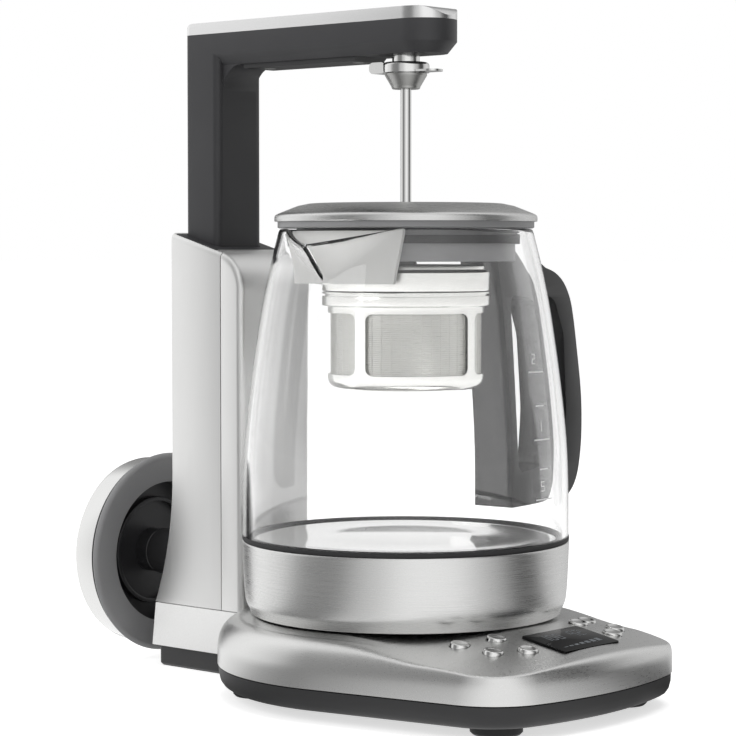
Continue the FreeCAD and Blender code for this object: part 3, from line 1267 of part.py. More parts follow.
def spare_lid_cover():
    """Steel shell of the spare lid, its top facing back."""
    radius = SPARE_LID_BAND_RADIUS
    depth = SPARE_LID_DEPTH
    start = SPARE_LID_GROOVE + SPARE_LID_RIM
    inside = radius - SPARE_LID_WALL
    outer = turned([(0, start), (radius, start), (radius, depth - 4.0), (radius - 1.6, depth - 1.4),
                    (radius - 5, depth), (0, depth)])
    inner = turned([(0, start - 1), (inside, start - 1), (inside, depth - 5),
                    (radius - 6, depth - SPARE_LID_WALL), (0, depth - SPARE_LID_WALL)])
    return along_back(outer.cut(inner))


def spare_lid_plug():
    """Plastic underside of the spare lid: rim, deep bowl and a hub that fits the dock."""
    bowl = SPARE_LID_BOWL_RADIUS
    edge = SPARE_LID_RADIUS
    floor_at = SPARE_LID_FLOOR_DEPTH
    rim = turned([(bowl, 0.6), (edge - 2.6, 0), (edge - 0.6, 0.5), (edge, 1.6), (edge - 0.6, SPARE_LID_RIM),
                  (bowl, SPARE_LID_RIM)])
    body = ring(SPARE_LID_BAND_RADIUS - SPARE_LID_WALL - 0.1, bowl, SPARE_LID_RIM - 0.2, floor_at + 2)
    floor = cylinder(bowl + 1, floor_at, floor_at + 2)
    step = ring(26.0, 24.0, floor_at - 4, floor_at + 1)
    hub = ring(DOCK_NOSE_RADIUS + 3.0, DOCK_NOSE_RADIUS + SEAT_CLEARANCE, 5.0, floor_at + 1)
    return along_back(merge([rim, body, floor, step, hub]))


def spare_lid_seal():
    """Dark sealing ring in the groove between the rim and the steel shell."""
    radius = SPARE_LID_RADIUS - 1.6
    inside = SPARE_LID_BAND_RADIUS - SPARE_LID_WALL - 0.1
    return along_back(ring(radius, inside, SPARE_LID_RIM, SPARE_LID_GROOVE + SPARE_LID_RIM))


def nodes():
    """Every node of the object: its name and its solid or group of solids."""
    parts = {
        "base_shell": base_shell(),
        "base_tray": base_tray(),
        "base_feet": base_feet(),
        "base_screws": base_screws(),
        "display_window": display_window(),
        "display_module": display_module(),
        "control_board": control_board(),
        "power_connector": power_connector(),
        "tower_front_cover": front_cover(),
        "tower_rear_cover": rear_cover(),
        "tower_top_bezel": top_bezel(),
        "tower_plinth": tower_plinth(),
        "tower_foot": tower_foot(),
        "tower_frame": tower_frame(),
        "cord_gland": cord_gland(),
        "lift_motor": lift_motor(),
        "motor_gearbox": motor_gearbox(),
        "screw_bearing": screw_bearing(),
        "lead_screw": lead_screw(),
        "drive_nut": drive_nut(),
        "power_board": power_board(),
        "limit_switches": limit_switches(),
        "lid_dock": lid_dock(),
        "arm_housing": arm_housing(),
        "arm_cap": arm_cap(),
        "arm_underplate": arm_underplate(),
        "arm_screws": arm_screws(),
        "coupling_hub": coupling_hub(),
        "release_lever": release_lever(),
        "rod_socket": rod_socket(),
        "lift_rod": lift_rod(),
        "basket_cap": basket_cap(),
        "basket_frame": basket_frame(),
        "basket_mesh": basket_mesh(),
        "jug_glass": jug_glass(),
        "jug_base_ring": jug_base_ring(),
        "glass_seal": glass_seal(),
        "heating_plate": heating_plate(),
        "heating_element": heating_element(),
        "jug_bottom_cover": jug_bottom_cover(),
        "jug_connector": jug_connector(),
        "jug_handle": jug_handle(),
        "spout_filter": spout_filter(),
        "lid_cover": lid_cover(),
        "lid_plug": lid_plug(),
        "lid_seal": lid_seal(),
        "lid_bush": lid_bush(),
        "spare_lid_cover": spare_lid_cover(),
        "spare_lid_plug": spare_lid_plug(),
        "spare_lid_seal": spare_lid_seal(),
    }
    for name, x, y in button_places():
        parts[name] = button(x, y)
    return parts


def main():
    os.makedirs("parts", exist_ok=True)
    for name, shape in nodes().items():
        placed = shape.copy()
        placed.translate(V(-ORIGIN_X, -ORIGIN_Y, 0))
        placed.exportStep("parts/%s.step" % name)


main()
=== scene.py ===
# %% [markdown]
# # An automatic tea maker
#
# A glass jug with a steel foot stands on a power base with a sloping control panel. Behind it a tower
# carries an arm, which lowers a tea basket on a rod through the jug's lid. A spare lid hangs on the
# tower's back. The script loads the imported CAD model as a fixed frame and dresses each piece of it.

# %% Load the frame
import bpy
import bmesh
import json
import math
from mathutils import Euler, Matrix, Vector


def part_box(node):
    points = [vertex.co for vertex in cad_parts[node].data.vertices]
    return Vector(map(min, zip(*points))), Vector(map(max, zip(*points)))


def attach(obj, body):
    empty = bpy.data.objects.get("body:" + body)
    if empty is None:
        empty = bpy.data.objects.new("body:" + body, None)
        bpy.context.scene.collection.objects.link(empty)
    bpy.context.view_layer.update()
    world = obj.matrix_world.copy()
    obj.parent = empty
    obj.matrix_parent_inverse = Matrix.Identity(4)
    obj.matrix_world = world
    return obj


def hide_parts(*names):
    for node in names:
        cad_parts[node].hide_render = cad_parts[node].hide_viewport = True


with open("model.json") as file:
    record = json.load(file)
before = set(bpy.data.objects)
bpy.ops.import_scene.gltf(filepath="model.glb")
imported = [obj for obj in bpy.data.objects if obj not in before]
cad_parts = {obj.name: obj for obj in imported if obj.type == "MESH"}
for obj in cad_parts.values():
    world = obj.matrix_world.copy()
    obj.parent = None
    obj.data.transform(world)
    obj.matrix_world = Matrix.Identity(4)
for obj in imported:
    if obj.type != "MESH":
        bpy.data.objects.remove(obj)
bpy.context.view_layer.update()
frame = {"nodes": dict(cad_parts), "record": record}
record = frame["record"]
BODY_OF = {node: body for body, nodes in record["behaviour"]["bodies"].items() for node in nodes}

# %% [markdown]
# Every drawing below is in millimetres from the jug's own axis, because nearly everything here is round
# about it: -Y is the front with the panel, +Y the tower, +X the handle. One function turns such a point
# into the frame's metres, so no piece needs fitting afterwards.

# %% Places and lengths
MM = 0.001
ring_low, ring_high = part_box("jug_base_ring")
AXIS_X = (ring_low[0] + ring_high[0]) / 2
AXIS_Y = (ring_low[1] + ring_high[1]) / 2
JUG_TURN = math.radians(5.0)


def at(x, y, z):
    return Vector((AXIS_X + x * MM, AXIS_Y + y * MM, z * MM))


def jug_turned(p):
    """The jug stands turned a little on its round connector."""
    c, s = math.cos(JUG_TURN), math.sin(JUG_TURN)
    return (p[0] * c - p[1] * s, p[0] * s + p[1] * c, p[2])


# %% [markdown]
# Outlines are drawn with a pencil and rounded after: each corner carries its own radius. A corner rounded
# this way keeps its straight runs exactly where they were, as a real bent or moulded edge does.

# %% Outlines
def soften(corners, steps=6):
    """A closed outline from (x, y, radius) corners."""
    points = []
    for i, (x, y, radius) in enumerate(corners):
        here = Vector((x, y))
        back = Vector(corners[i - 1][:2]) - here
        ahead = Vector(corners[(i + 1) % len(corners)][:2]) - here
        angle = back.angle(ahead)
        if radius <= 0 or math.pi - angle < 0.02:
            points.append((x, y))
            continue
        cut = min(radius / math.tan(angle / 2), back.length * 0.49, ahead.length * 0.49)
        round_by = cut * math.tan(angle / 2)
        back.normalize()
        ahead.normalize()
        centre = here + (back + ahead).normalized() * (round_by / math.sin(angle / 2))
        start = here + back * cut - centre
        end = here + ahead * cut - centre
        sign = 1 if start.cross(end) > 0 else -1
        for k in range(steps + 1):
            turn = sign * (math.pi - angle) * k / steps
            c, s = math.cos(turn), math.sin(turn)
            points.append((centre.x + start.x * c - start.y * s, centre.y + start.x * s + start.y * c))
    return points


def smooth_line(points, steps=8):
    """A smooth open line through points (Catmull-Rom)."""
    line = []
    for i in range(len(points) - 1):
        p = [Vector(points[max(0, min(len(points) - 1, i + k))]) for k in (-1, 0, 1, 2)]
        for s in range(steps):
            t = s / steps
            straight = 2 * p[1] + (p[2] - p[0]) * t
            bent = (2 * p[0] - 5 * p[1] + 4 * p[2] - p[3]) * t ** 2
            turned = (3 * p[1] - p[0] - 3 * p[2] + p[3]) * t ** 3
            line.append(tuple(0.5 * (straight + bent + turned)))
    line.append(tuple(points[-1]))
    return line


# %% [markdown]
# Three ways of making cover nearly every piece: turning a profile on a lathe, skinning a row of rings,
# and extruding an outline. Each gives points and faces in millimetres, and `mesh_of` makes one
# clean mesh of them.

# %% Ways of making
def lathe(profile, segments=144, closed=True):
    """A profile of (radius, height) turned about the axis; a radius of 0 closes on the axis."""
    points, rows = [], []
    for r, z in profile:
        if r < 1e-6:
            rows.append([len(points)] * segments)
            points.append((0.0, 0.0, z))
            continue
        rows.append([len(points) + k for k in range(segments)])
        for k in range(segments):
            a = 2 * math.pi * k / segments
            points.append((r * math.cos(a), r * math.sin(a), z))
    faces = []
    count = len(rows) if closed else len(rows) - 1
    for i in range(count):
        a, b = rows[i], rows[(i + 1) % len(rows)]
        for k in range(segments):
            n = (k + 1) % segments
            face = []
            for v in (a[k], a[n], b[n], b[k]):
                if v not in face:
                    face.append(v)
            if len(face) > 2:
                faces.append(face)
    return points, faces


def skin(rings, loop=False):
    """Faces between rings of equally many points, closed at both ends unless the rings run in a loop."""
    points = [p for r in rings for p in r]
    n = len(rings[0])
    faces = []
    pairs = [(i, i + 1) for i in range(len(rings) - 1)]
    if loop:
        pairs.append((len(rings) - 1, 0))
    for i, j in pairs:
        for k in range(n):
            m = (k + 1) % n
            faces.append((i * n + k, i * n + m, j * n + m, j * n + k))
    if not loop:
        faces.append(tuple(range(n)))
        faces.append(tuple(range((len(rings) - 1) * n, len(rings) * n)))
    return points, faces


def mesh_of(name, points, faces, place=None):
    """Points in millimetres to a mesh in the frame's metres, doubles merged and normals outward."""
    mesh = bpy.data.meshes.new(name)
    if place:
        points = [place(p) for p in points]
    mesh.from_pydata([at(*p) for p in points], [], faces)
    clean(mesh)
    return mesh


def clean(mesh):
    work = bmesh.new()
    work.from_mesh(mesh)
    bmesh.ops.remove_doubles(work, verts=work.verts, dist=2e-6)
    bmesh.ops.dissolve_degenerate(work, edges=work.edges, dist=1e-7)
    bmesh.ops.recalc_face_normals(work, faces=work.faces)
    work.to_mesh(mesh)
    work.free()
    mesh.validate()


def joined(*parts):
    """Several (points, faces) as one."""
    points, faces = [], []
    for p, f in parts:
        base = len(points)
        points += p
        faces += [[v + base for v in face] for face in f]
    return points, faces


def loose(mesh, name="cutter"):
    thing = bpy.data.objects.new(name, mesh)
    bpy.context.scene.collection.objects.link(thing)
    return thing


def settled(thing):
    """The object's mesh with its modifiers worked in."""
    graph = bpy.context.evaluated_depsgraph_get()
    graph.update()
    mesh = bpy.data.meshes.new_from_object(thing.evaluated_get(graph))
    thing.modifiers.clear()
    thing.data = mesh
    return mesh


def carve(thing, cutters, operation="DIFFERENCE"):
    """Boolean of one object with several meshes, which are then gone."""
    for mesh in cutters:
        tool = loose(mesh)
        step = thing.modifiers.new("carve", "BOOLEAN")
        step.operation = operation
        step.solver = "EXACT"
        step.object = tool
        settled(thing)
        bpy.data.objects.remove(tool)
    clean(thing.data)
    return thing


def finish_piece(thing, material, nodes, crease=32, bevel=None, body=None):
    """Bevel if asked, material, shade and ride: what every finished piece needs."""
    if bevel:
        edge = thing.modifiers.new("edge", "BEVEL")
        edge.width = bevel * MM
        edge.segments = 3
        edge.limit_method = "ANGLE"
        edge.angle_limit = math.radians(34)
        edge.use_clamp_overlap = True
        settled(thing)
    mesh = thing.data
    mesh.materials.clear()
    for one in (material if isinstance(material, (list, tuple)) else [material]):
        mesh.materials.append(one)
    mesh.shade_smooth()
    mesh.set_sharp_from_angle(angle=math.radians(crease))
    nodes = [nodes] if isinstance(nodes, str) else list(nodes)
    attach(thing, body or BODY_OF[nodes[0]])
    return thing


def piece(name, form, material, node, place=None, crease=32, bevel=None, cut=(), replace=True):
    """One piece from points and faces, standing for a CAD node."""
    thing = loose(mesh_of(name, *form, place=place), name)
    if cut:
        carve(thing, cut)
    finish_piece(thing, material, node, crease, bevel)
    if replace:
        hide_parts(node)
    print("  %-26s %6d faces" % (name, len(thing.data.polygons)))
    return thing


def dressed(node, material, crease=30, bevel=None):
    """A CAD node whose form is right: its mesh copied, merged and smoothed, its edges broken if asked."""
    mesh = frame["nodes"][node].data.copy()
    if "custom_normal" in mesh.attributes:
        mesh.attributes.remove(mesh.attributes["custom_normal"])
    clean(mesh)
    if bevel:
        work = bmesh.new()
        work.from_mesh(mesh)
        bmesh.ops.dissolve_limit(work, angle_limit=math.radians(0.6), verts=work.verts, edges=work.edges)
        work.to_mesh(mesh)
        work.free()
    thing = loose(mesh, node + "_finished")
    finish_piece(thing, material, node, crease, bevel)
    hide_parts(node)
    return thing


# %% [markdown]
# ## Materials
#
# Each material starts from what the real one is. Brushed steel is smooth metal with fine scratches all
# in one direction, so light smears across them; moulded plastic is dull with a fine grain from its
# tool; glass is clear and thick. Colours are written as seen on a screen and turned into light by one
# function. Scales are in millimetres.

# %% Material tools
def tint(code):
    """A screen colour such as #c8c8c8 as linear light."""
    values = [int(code[i:i + 2], 16) / 255 for i in (1, 3, 5)]
    return tuple(v / 12.92 if v <= 0.04045 else ((v + 0.055) / 1.055) ** 2.4 for v in values) + (1.0,)


def add(tree, kind, settings=None, **inputs):
    """A shader node with its settings, and its inputs as values or as links."""
    node = tree.nodes.new(kind)
    for key, value in (settings or {}).items():
        setattr(node, key, value)
    for key, value in inputs.items():
        by_number = key[0] == "i" and key[1:].isdigit()
        socket = node.inputs[int(key[1:]) if by_number else key.replace("_", " ")]
        if hasattr(value, "is_output"):
            tree.links.new(value, socket)
        else:
            socket.default_value = value
    return node


def material(name, color, **settings):
    made = bpy.data.materials.new(name)
    made.use_nodes = True
    tree = made.node_tree
    shader = tree.nodes["Principled BSDF"]
    shader.inputs["Base Color"].default_value = color
    for key, value in settings.items():
        shader.inputs[key.replace("_", " ")].default_value = value
    made.diffuse_color = color
    return made, tree, shader


def grain_space(tree, stretch=(1, 1, 1)):
    """Object coordinates in millimetres, measured from the jug's axis and stretched."""
    coords = add(tree, "ShaderNodeTexCoord")
    moved = add(tree, "ShaderNodeMapping", Vector=coords.outputs["Object"],
                Location=(-AXIS_X * 1000 * stretch[0], -AXIS_Y * 1000 * stretch[1], 0),
                Scale=tuple(1000 * s for s in stretch))
    return moved.outputs["Vector"]


def brushed(name, code, along, rough, low, high, depth=0.02, anisotropic=0.0, fine=3.0):
    """Brushed metal. `along` is the direction the brush went: round, x, y or z."""
    made, tree, shader = material(name, tint(code), Metallic=1.0, Roughness=rough, Anisotropic=anisotropic)
    if along == "round":
        space = grain_space(tree)
        split = add(tree, "ShaderNodeSeparateXYZ", Vector=space)
        flat = add(tree, "ShaderNodeCombineXYZ", X=split.outputs["X"], Y=split.outputs["Y"])
        reach = add(tree, "ShaderNodeVectorMath", {"operation": "LENGTH"}, i0=flat.outputs[0])
        turned = add(tree, "ShaderNodeMath", {"operation": "ARCTAN2"}, i0=split.outputs["Y"],
                     i1=split.outputs["X"])
        slow = add(tree, "ShaderNodeMath", {"operation": "MULTIPLY"}, i0=turned.outputs[0], i1=1.5)
        lines = add(tree, "ShaderNodeCombineXYZ", X=reach.outputs["Value"], Y=split.outputs["Z"],
                    Z=slow.outputs[0])
        where = lines.outputs[0]
    else:
        stretch = {"x": (0.02, 1, 1), "y": (1, 0.02, 1), "z": (1, 1, 0.02)}[along]
        where = grain_space(tree, stretch)
    noise = add(tree, "ShaderNodeTexNoise", Vector=where, Scale=fine, Detail=3.0, Roughness=0.6)
    patch = add(tree, "ShaderNodeTexNoise", Vector=grain_space(tree), Scale=0.02, Detail=2.0)
    shade = add(tree, "ShaderNodeMapRange", Value=noise.outputs["Fac"], i1=0.3, i2=0.7, i3=low, i4=high)
    both = add(tree, "ShaderNodeMath", {"operation": "ADD"}, i0=shade.outputs[0], i1=-0.02)
    drift = add(tree, "ShaderNodeMath", {"operation": "MULTIPLY_ADD"}, i0=patch.outputs["Fac"], i1=0.06,
                i2=both.outputs[0])
    tree.links.new(drift.outputs[0], shader.inputs["Roughness"])
    dull = tuple(c * 0.93 for c in tint(code)[:3]) + (1.0,)
    tone = add(tree, "ShaderNodeMix", {"data_type": "RGBA"}, Factor=noise.outputs["Fac"])
    tone.inputs["A"].default_value = dull
    tone.inputs["B"].default_value = tint(code)
    tree.links.new(tone.outputs["Result"], shader.inputs["Base Color"])
    bump = add(tree, "ShaderNodeBump", Strength=depth, Distance=0.0001, Height=noise.outputs["Fac"])
    tree.links.new(bump.outputs[0], shader.inputs["Normal"])
    return made


def moulded(name, code, rough, grain=1.6, depth=0.12, coat=0.0):
    """Moulded plastic: dull, with the fine grain of its tool and slightly uneven gloss."""
    made, tree, shader = material(name, tint(code), Roughness=rough, Coat_Weight=coat, Coat_Roughness=0.12)
    space = grain_space(tree)
    fine = add(tree, "ShaderNodeTexNoise", Vector=space, Scale=grain, Detail=3.0)
    wide = add(tree, "ShaderNodeTexNoise", Vector=space, Scale=0.03, Detail=2.0)
    uneven = add(tree, "ShaderNodeMapRange", Value=wide.outputs["Fac"], i1=0.3, i2=0.7, i3=rough - 0.05,
                 i4=rough + 0.06)
    tree.links.new(uneven.outputs[0], shader.inputs["Roughness"])
    lighter = tuple(min(1.0, c * 1.12 + 0.001) for c in tint(code)[:3]) + (1.0,)
    tone = add(tree, "ShaderNodeMix", {"data_type": "RGBA"}, Factor=fine.outputs["Fac"])
    tone.inputs["A"].default_value = tint(code)
    tone.inputs["B"].default_value = lighter
    tree.links.new(tone.outputs["Result"], shader.inputs["Base Color"])
    bump = add(tree, "ShaderNodeBump", Strength=depth, Distance=0.00005, Height=fine.outputs["Fac"])
    tree.links.new(bump.outputs[0], shader.inputs["Normal"])
    return made


def clear_glass(name):
    """Borosilicate glass: clear, with a faint unevenness from blowing it in a mould."""
    made, tree, shader = material(name, (0.99, 0.99, 0.99, 1.0), Roughness=0.0, IOR=1.47,
                                  Transmission_Weight=1.0)
    wave = add(tree, "ShaderNodeTexNoise", Vector=grain_space(tree), Scale=0.03, Detail=1.0)
    bump = add(tree, "ShaderNodeBump", Strength=0.04, Distance=0.0004, Height=wave.outputs["Fac"])
    tree.links.new(bump.outputs[0], shader.inputs["Normal"])
    return made


# %% The materials themselves
steel_round = brushed("steel, brushed round", "#dededd", "round", 0.26, 0.22, 0.34, anisotropic=0.35)
steel_base = brushed("steel, brushed across", "#dcdcdb", "x", 0.28, 0.24, 0.36, depth=0.03)
steel_lid = brushed("steel, lid, brushed round", "#d6d6d5", "round", 0.26, 0.22, 0.34, anisotropic=0.5)
steel_bright = brushed("steel, polished", "#e0e0df", "round", 0.1, 0.08, 0.14, depth=0.004)
steel_plain = brushed("steel, turned", "#b0b0ae", "z", 0.3, 0.25, 0.38)
steel_basket = brushed("steel, basket, satin", "#ecece9", "round", 0.2, 0.16, 0.26, depth=0.01)
steel_mesh = brushed("steel, woven wire", "#c8c8c4", "round", 0.3, 0.25, 0.35)
side_metal = brushed("aluminium, tower, brushed upright", "#f0f0ef", "z", 0.42, 0.38, 0.5, depth=0.02)
cap_metal = brushed("aluminium, arm cap, satin", "#e6e6e6", "y", 0.2, 0.16, 0.26)
arm_plastic = moulded("plastic, arm, satin dark grey", "#303032", 0.48)
dark_plastic = moulded("plastic, dark, matt", "#272728", 0.52)
black_plastic = moulded("plastic, handle, satin black", "#1d1d1e", 0.4)
grey_plastic = moulded("plastic, lid, satin grey", "#858586", 0.42)
light_plastic = moulded("plastic, plinth, light grey", "#ececeb", 0.35)
rubber = moulded("rubber, soft black", "#262627", 0.7, grain=2.5)
board_green = moulded("printed board, green lacquer", "#1f5a34", 0.3)
display_black = moulded("acrylic, display, black gloss", "#070708", 0.08, depth=0.01)
display_black.node_tree.nodes["Principled BSDF"].inputs["Specular IOR Level"].default_value = 0.12
display_grey = moulded("ink, display segments, dim grey", "#5c6064", 0.5)
mark_white = moulded("enamel, volume marks, white", "#e6e6e6", 0.5)
# the bowl's dark colour is painted shade, standing for the shade down in the spare lid's deep recess
spare_bowl_painted_shade = moulded("plastic, spare lid bowl, dark as painted shade", "#2c2c2e", 0.36)
frosted = moulded("steel, strainer plate, fine", "#c6c6c4", 0.45)
brass = brushed("brass, machined", "#c8a85c", "z", 0.3, 0.25, 0.36)
jug_clear = clear_glass("glass, jug, clear")
print("materials:", len(bpy.data.materials))

# %% [markdown]
# ## The power base
#
# A pressed steel shell: round behind the jug, sides leaning in a little, and a bowed front with broad
# corners. Its top is level under the jug and slopes down to the front, crowned from side to side. The
# shell is skinned from rings of its own outline, drawn in step by step over the shoulder. Each ring
# takes the lower of the shoulder's height and the crowned top's, blended, which is how a pressing's
# soft edge runs out along its panel.

# %% Outline of the base
BASE_RADIUS, BASE_FRONT, BASE_CURVE, BASE_CORNER = 84.0, 116.0, 176.0, 32.0
BASE_LEAN = math.radians(11.0)
TOWER_FRONT = 81.1
SLOPE = math.radians(10.3)
BREAK_Y, FLAT_Y = -77.0, -18.0


def arc_points(cx, cy, r, a0, a1, count):
    return [(cx + r * math.cos(a0 + (a1 - a0) * k / count), cy + r * math.sin(a0 + (a1 - a0) * k / count))
            for k in range(count)]


def base_outline(inset):
    radius, corner, front = BASE_RADIUS - inset, BASE_CORNER - inset, BASE_CURVE - inset
    centre_y = BASE_CURVE - BASE_FRONT
    back_y = TOWER_FRONT - 0.3 - inset
    start = Vector((radius * math.cos(BASE_LEAN), -radius * math.sin(BASE_LEAN)))
    along = Vector((-math.sin(BASE_LEAN), -math.cos(BASE_LEAN)))
    inward = Vector((-math.cos(BASE_LEAN), math.sin(BASE_LEAN)))
    base_point = start + inward * corner
    offset = base_point - Vector((0, centre_y))
    half = offset.dot(along)
    length = -half + math.sqrt(half * half - offset.dot(offset) + (front - corner) ** 2)
    centre = base_point + along * length
    side_end = centre - inward * corner
    towards = (centre - Vector((0, centre_y))).normalized()
    back_x = math.sqrt(radius * radius - back_y * back_y)
    points = [(back_x * k / 6, back_y) for k in range(6)]
    points += arc_points(0, 0, radius, math.atan2(back_y, back_x), -BASE_LEAN, 40)
    points += [tuple(start.lerp(side_end, k / 12)) for k in range(12)]
    a0, a1 = -BASE_LEAN, math.atan2(towards.y, towards.x)
    points += arc_points(centre.x, centre.y, corner, a0, a1, 22)
    points += arc_points(0, centre_y, front, a1, -math.pi / 2, 26)
    points.append((0, centre_y - front))
    return points + [(-x, y) for x, y in reversed(points[1:-1])]


def panel_height(x, y):
    share = min(1.0, max(0.0, (FLAT_Y - y) / (FLAT_Y - BREAK_Y)))
    sag = 0.4 + 5.2 * share * share * (3 - 2 * share)
    past = BREAK_Y - y
    bend = 6.0
    if past > bend:
        drop = (past - bend / 2) * math.tan(SLOPE) + bend / 2 * math.tan(SLOPE)
    elif past > -bend:
        drop = (past + bend) ** 2 / (4 * bend) * math.tan(SLOPE)
    else:
        drop = 0.0
    crown = (58.0 ** 2 + sag ** 2) / (2 * sag)
    return 37.0 - drop - (crown - math.sqrt(crown * crown - x * x))


def shoulder_height(inset):
    """The rounded shoulder alone: upright at the side, level 11 mm in."""
    t = min(1.0, max(0.0, inset / 11.0))
    return 22.0 + 13.2 * math.sqrt(1 - (1 - t) ** 2.2)


def soft_low(a, b, width):
    """The lower of two heights, blended over a width."""
    h = max(0.0, min(1.0, 0.5 + 0.5 * (b - a) / width))
    return b * (1 - h) + a * h - width * h * (1 - h)


def shell_rings(wall):
    """Rings of the shell from its foot to the middle of its top, drawn in by a wall."""
    rings = []
    for z in (15.0, 17.0, 19.5, 21.5):
        rings.append([(x, y, z) for x, y in base_outline(wall)])
    for d in (0.06, 0.22, 0.5, 0.9, 1.4, 2.0, 2.7, 3.5, 4.5, 5.7, 7.0, 8.6, 10.4, 12.4, 14.8, 17.6, 21.0,
              25.0):
        row = []
        for x, y in base_outline(wall + d):
            top = panel_height(x, y)
            z = soft_low(shoulder_height(d), top, 2.4) if d < 13 else top
            row.append((x, y, min(z, top) - wall))
        rings.append(row)
    last = base_outline(wall + 25.0)
    for share in (0.9, 0.8, 0.7, 0.6, 0.5, 0.4, 0.3, 0.2, 0.1, 0.03):
        row = []
        for x, y in last:
            px, py = x * share, (y + 12) * share - 12
            row.append((px, py, panel_height(px, py) - wall))
        rings.append(row)
    return rings


# %% Cutters square to the panel
NORMAL = Vector((0, -math.sin(SLOPE), math.cos(SLOPE)))
DISPLAY_Y = -92.0
BUTTON_SPOTS = ((44.0, -67.5), (28.5, -74.5), (42.5, -84.0), (29.5, -92.0))


def on_panel(x, y):
    """Turns a small drawing's own (x, y, height) into a place on the panel's slope."""
    foot = Vector((x, y, panel_height(x, y)))
    across, up_slope = Vector((1, 0, 0)), Vector((0, math.cos(SLOPE), math.sin(SLOPE)))
    return lambda p: tuple(foot + across * p[0] + up_slope * p[1] + NORMAL * p[2])


def rounded_plate(width, depth, low, high, radius, edge=0.0):
    half_w, half_d = width / 2, depth / 2

    def ring(grow, z):
        corners = [(-half_w - grow, -half_d - grow, radius), (half_w + grow, -half_d - grow, radius),
                   (half_w + grow, half_d + grow, radius), (-half_w - grow, half_d + grow, radius)]
        return [(x, y, z) for x, y in soften(corners)]
    rings = [ring(0, low), ring(0, high - edge)]
    if edge:
        rings += [ring(-edge * 0.3, high - edge * 0.3), ring(-edge, high)]
    return skin(rings)


cutters = [mesh_of("window cut", *rounded_plate(39.0, 23.8, -6, 6, 1.3), place=on_panel(0, DISPLAY_Y))]
for x, y in BUTTON_SPOTS:
    for side in (-1, 1):
        drill = lathe([(0, -6.5), (4.5, -6.5), (4.5, 4), (0, 4)], 48)
        cutters.append(mesh_of("button cut", *drill, place=on_panel(side * x, y)))
cutters.append(mesh_of("seat cut", *lathe([(0, 20), (15.3, 20), (15.3, 45), (0, 45)], 64)))

outer, inner = shell_rings(0.0), shell_rings(1.6)
shell_form = skin(list(reversed(outer)) + inner)
piece("base_shell_steel", shell_form, steel_base, "base_shell", cut=cutters, crease=40)

# %% [markdown]
# Under the shell a dark moulded tray, set in a hair so that a shadow line parts it from the steel, and
# tapering to its feet.

# %% Tray and feet
tray_rings = []
for inset, z in ((6.5, 7.5), (4.6, 5.0), (4.0, 5.3), (2.6, 6.2), (1.35, 8.0), (0.6, 11.0), (0.45, 14.4),
                 (1.9, 14.8), (1.9, 17.8),
                 (6.5, 17.8)):
    tray_rings.append([(x, y, z) for x, y in base_outline(inset)])
tray = skin(tray_rings[1:] + [tray_rings[0]])
piece("base_tray_moulding", tray, dark_plastic, "base_tray", crease=40)
dressed("base_feet", rubber)
dressed("base_screws", steel_plain)
for node, finish in (("display_module", black_plastic), ("control_board", board_green),
                     ("power_connector", black_plastic)):
    dressed(node, finish)

# %% [markdown]
# The eight buttons are steel domes in close-fitting holes. A turned profile gives each its dished top
# and bright rounded rim; their flanges stay below the panel.

# %% Buttons
for number, (x, y) in enumerate(BUTTON_SPOTS, 1):
    for side, sign in (("left", -1), ("right", 1)):
        name = "button_%s_%d" % (side, number)
        dome = [(0, -4.6), (5.2, -4.6), (5.2, -3.6), (4.2, -3.6), (4.2, 0.7), (4.1, 1.05), (3.85, 1.3),
                (3.5, 1.39),
                (3.1, 1.34), (2.6, 1.12), (1.8, 0.95), (0.9, 0.88), (0, 0.86)]
        piece(name + "_dome", lathe(dome, 48), steel_bright, name, place=on_panel(sign * x, y), crease=50)

# %% [markdown]
# The display is a gloss black window a third of a millimetre proud. Behind it the segments of the
# sleeping display show as dim grey strokes: two numbers and a row of level bars.

# %% Display
piece("display_window_gloss", rounded_plate(38.6, 23.4, -1.7, 0.3, 1.2, edge=0.25), display_black,
      "display_window",
      place=on_panel(0, DISPLAY_Y))


def stroke(x, y, w, h):
    return skin([[(x, y, 0.3), (x + w, y, 0.3), (x + w, y + h, 0.3), (x, y + h, 0.3)],
                 [(x, y, 0.33), (x + w, y, 0.33), (x + w, y + h, 0.33), (x, y + h, 0.33)]])


def digit_bars(lit, w, h, t, x=0.0, y=0.0):
    """The bars of a number drawn in seven strokes, as (x, y, width, height); lit names those that show."""
    bars = {"a": (x, y + h - t, w, t), "g": (x, y + h / 2 - t / 2, w, t), "d": (x, y, w, t),
            "f": (x, y + h / 2, t, h / 2), "b": (x + w - t, y + h / 2, t, h / 2),
            "e": (x, y, t, h / 2), "c": (x + w - t, y, t, h / 2)}
    return [bars[key] for key in lit]


strokes = []
for x, lit in ((-14, "bc"), (-9.4, "abcdef"), (-4.8, "abcdef"), (5, "abcfg"), (9.6, "abged")):
    strokes += [stroke(*bar) for bar in digit_bars(lit, 3.2, 6.4, 0.5, x, 1)]
strokes += [stroke(-14 + 4 * k, -7.5, 2.6, 0.5 + 0.45 * k) for k in range(7)]
segments = piece("display_segments", joined(*strokes), display_grey, "display_window",
                 place=on_panel(0, DISPLAY_Y), replace=False)
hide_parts("display_window")

# %% [markdown]
# ## The jug
#
# A steel foot ring, a dark seal, and blown glass that leans in towards its neck. The beak is drawn out
# of the neck: seen from above its sides run straight from the neck to a point, and its rim falls
# towards the tip. The glass is skinned in columns round the axis. Each column's radius is the larger
# of the neck's and the beak's, blended, so the beak grows out of the wall without a seam.

# %% Glass
GLASS_LOW, GLASS_HIGH = 72.0, 207.6
GLASS_LINE = smooth_line([(72.5, 72.0), (71.4, 116.0), (64.2, 172.0), (56.2, 207.6)], 14)
TIP_REACH, TIP_Z, ROOT_Z = 75.4, 200.4, 185.7
BEAK_HALF = math.radians(34.0)


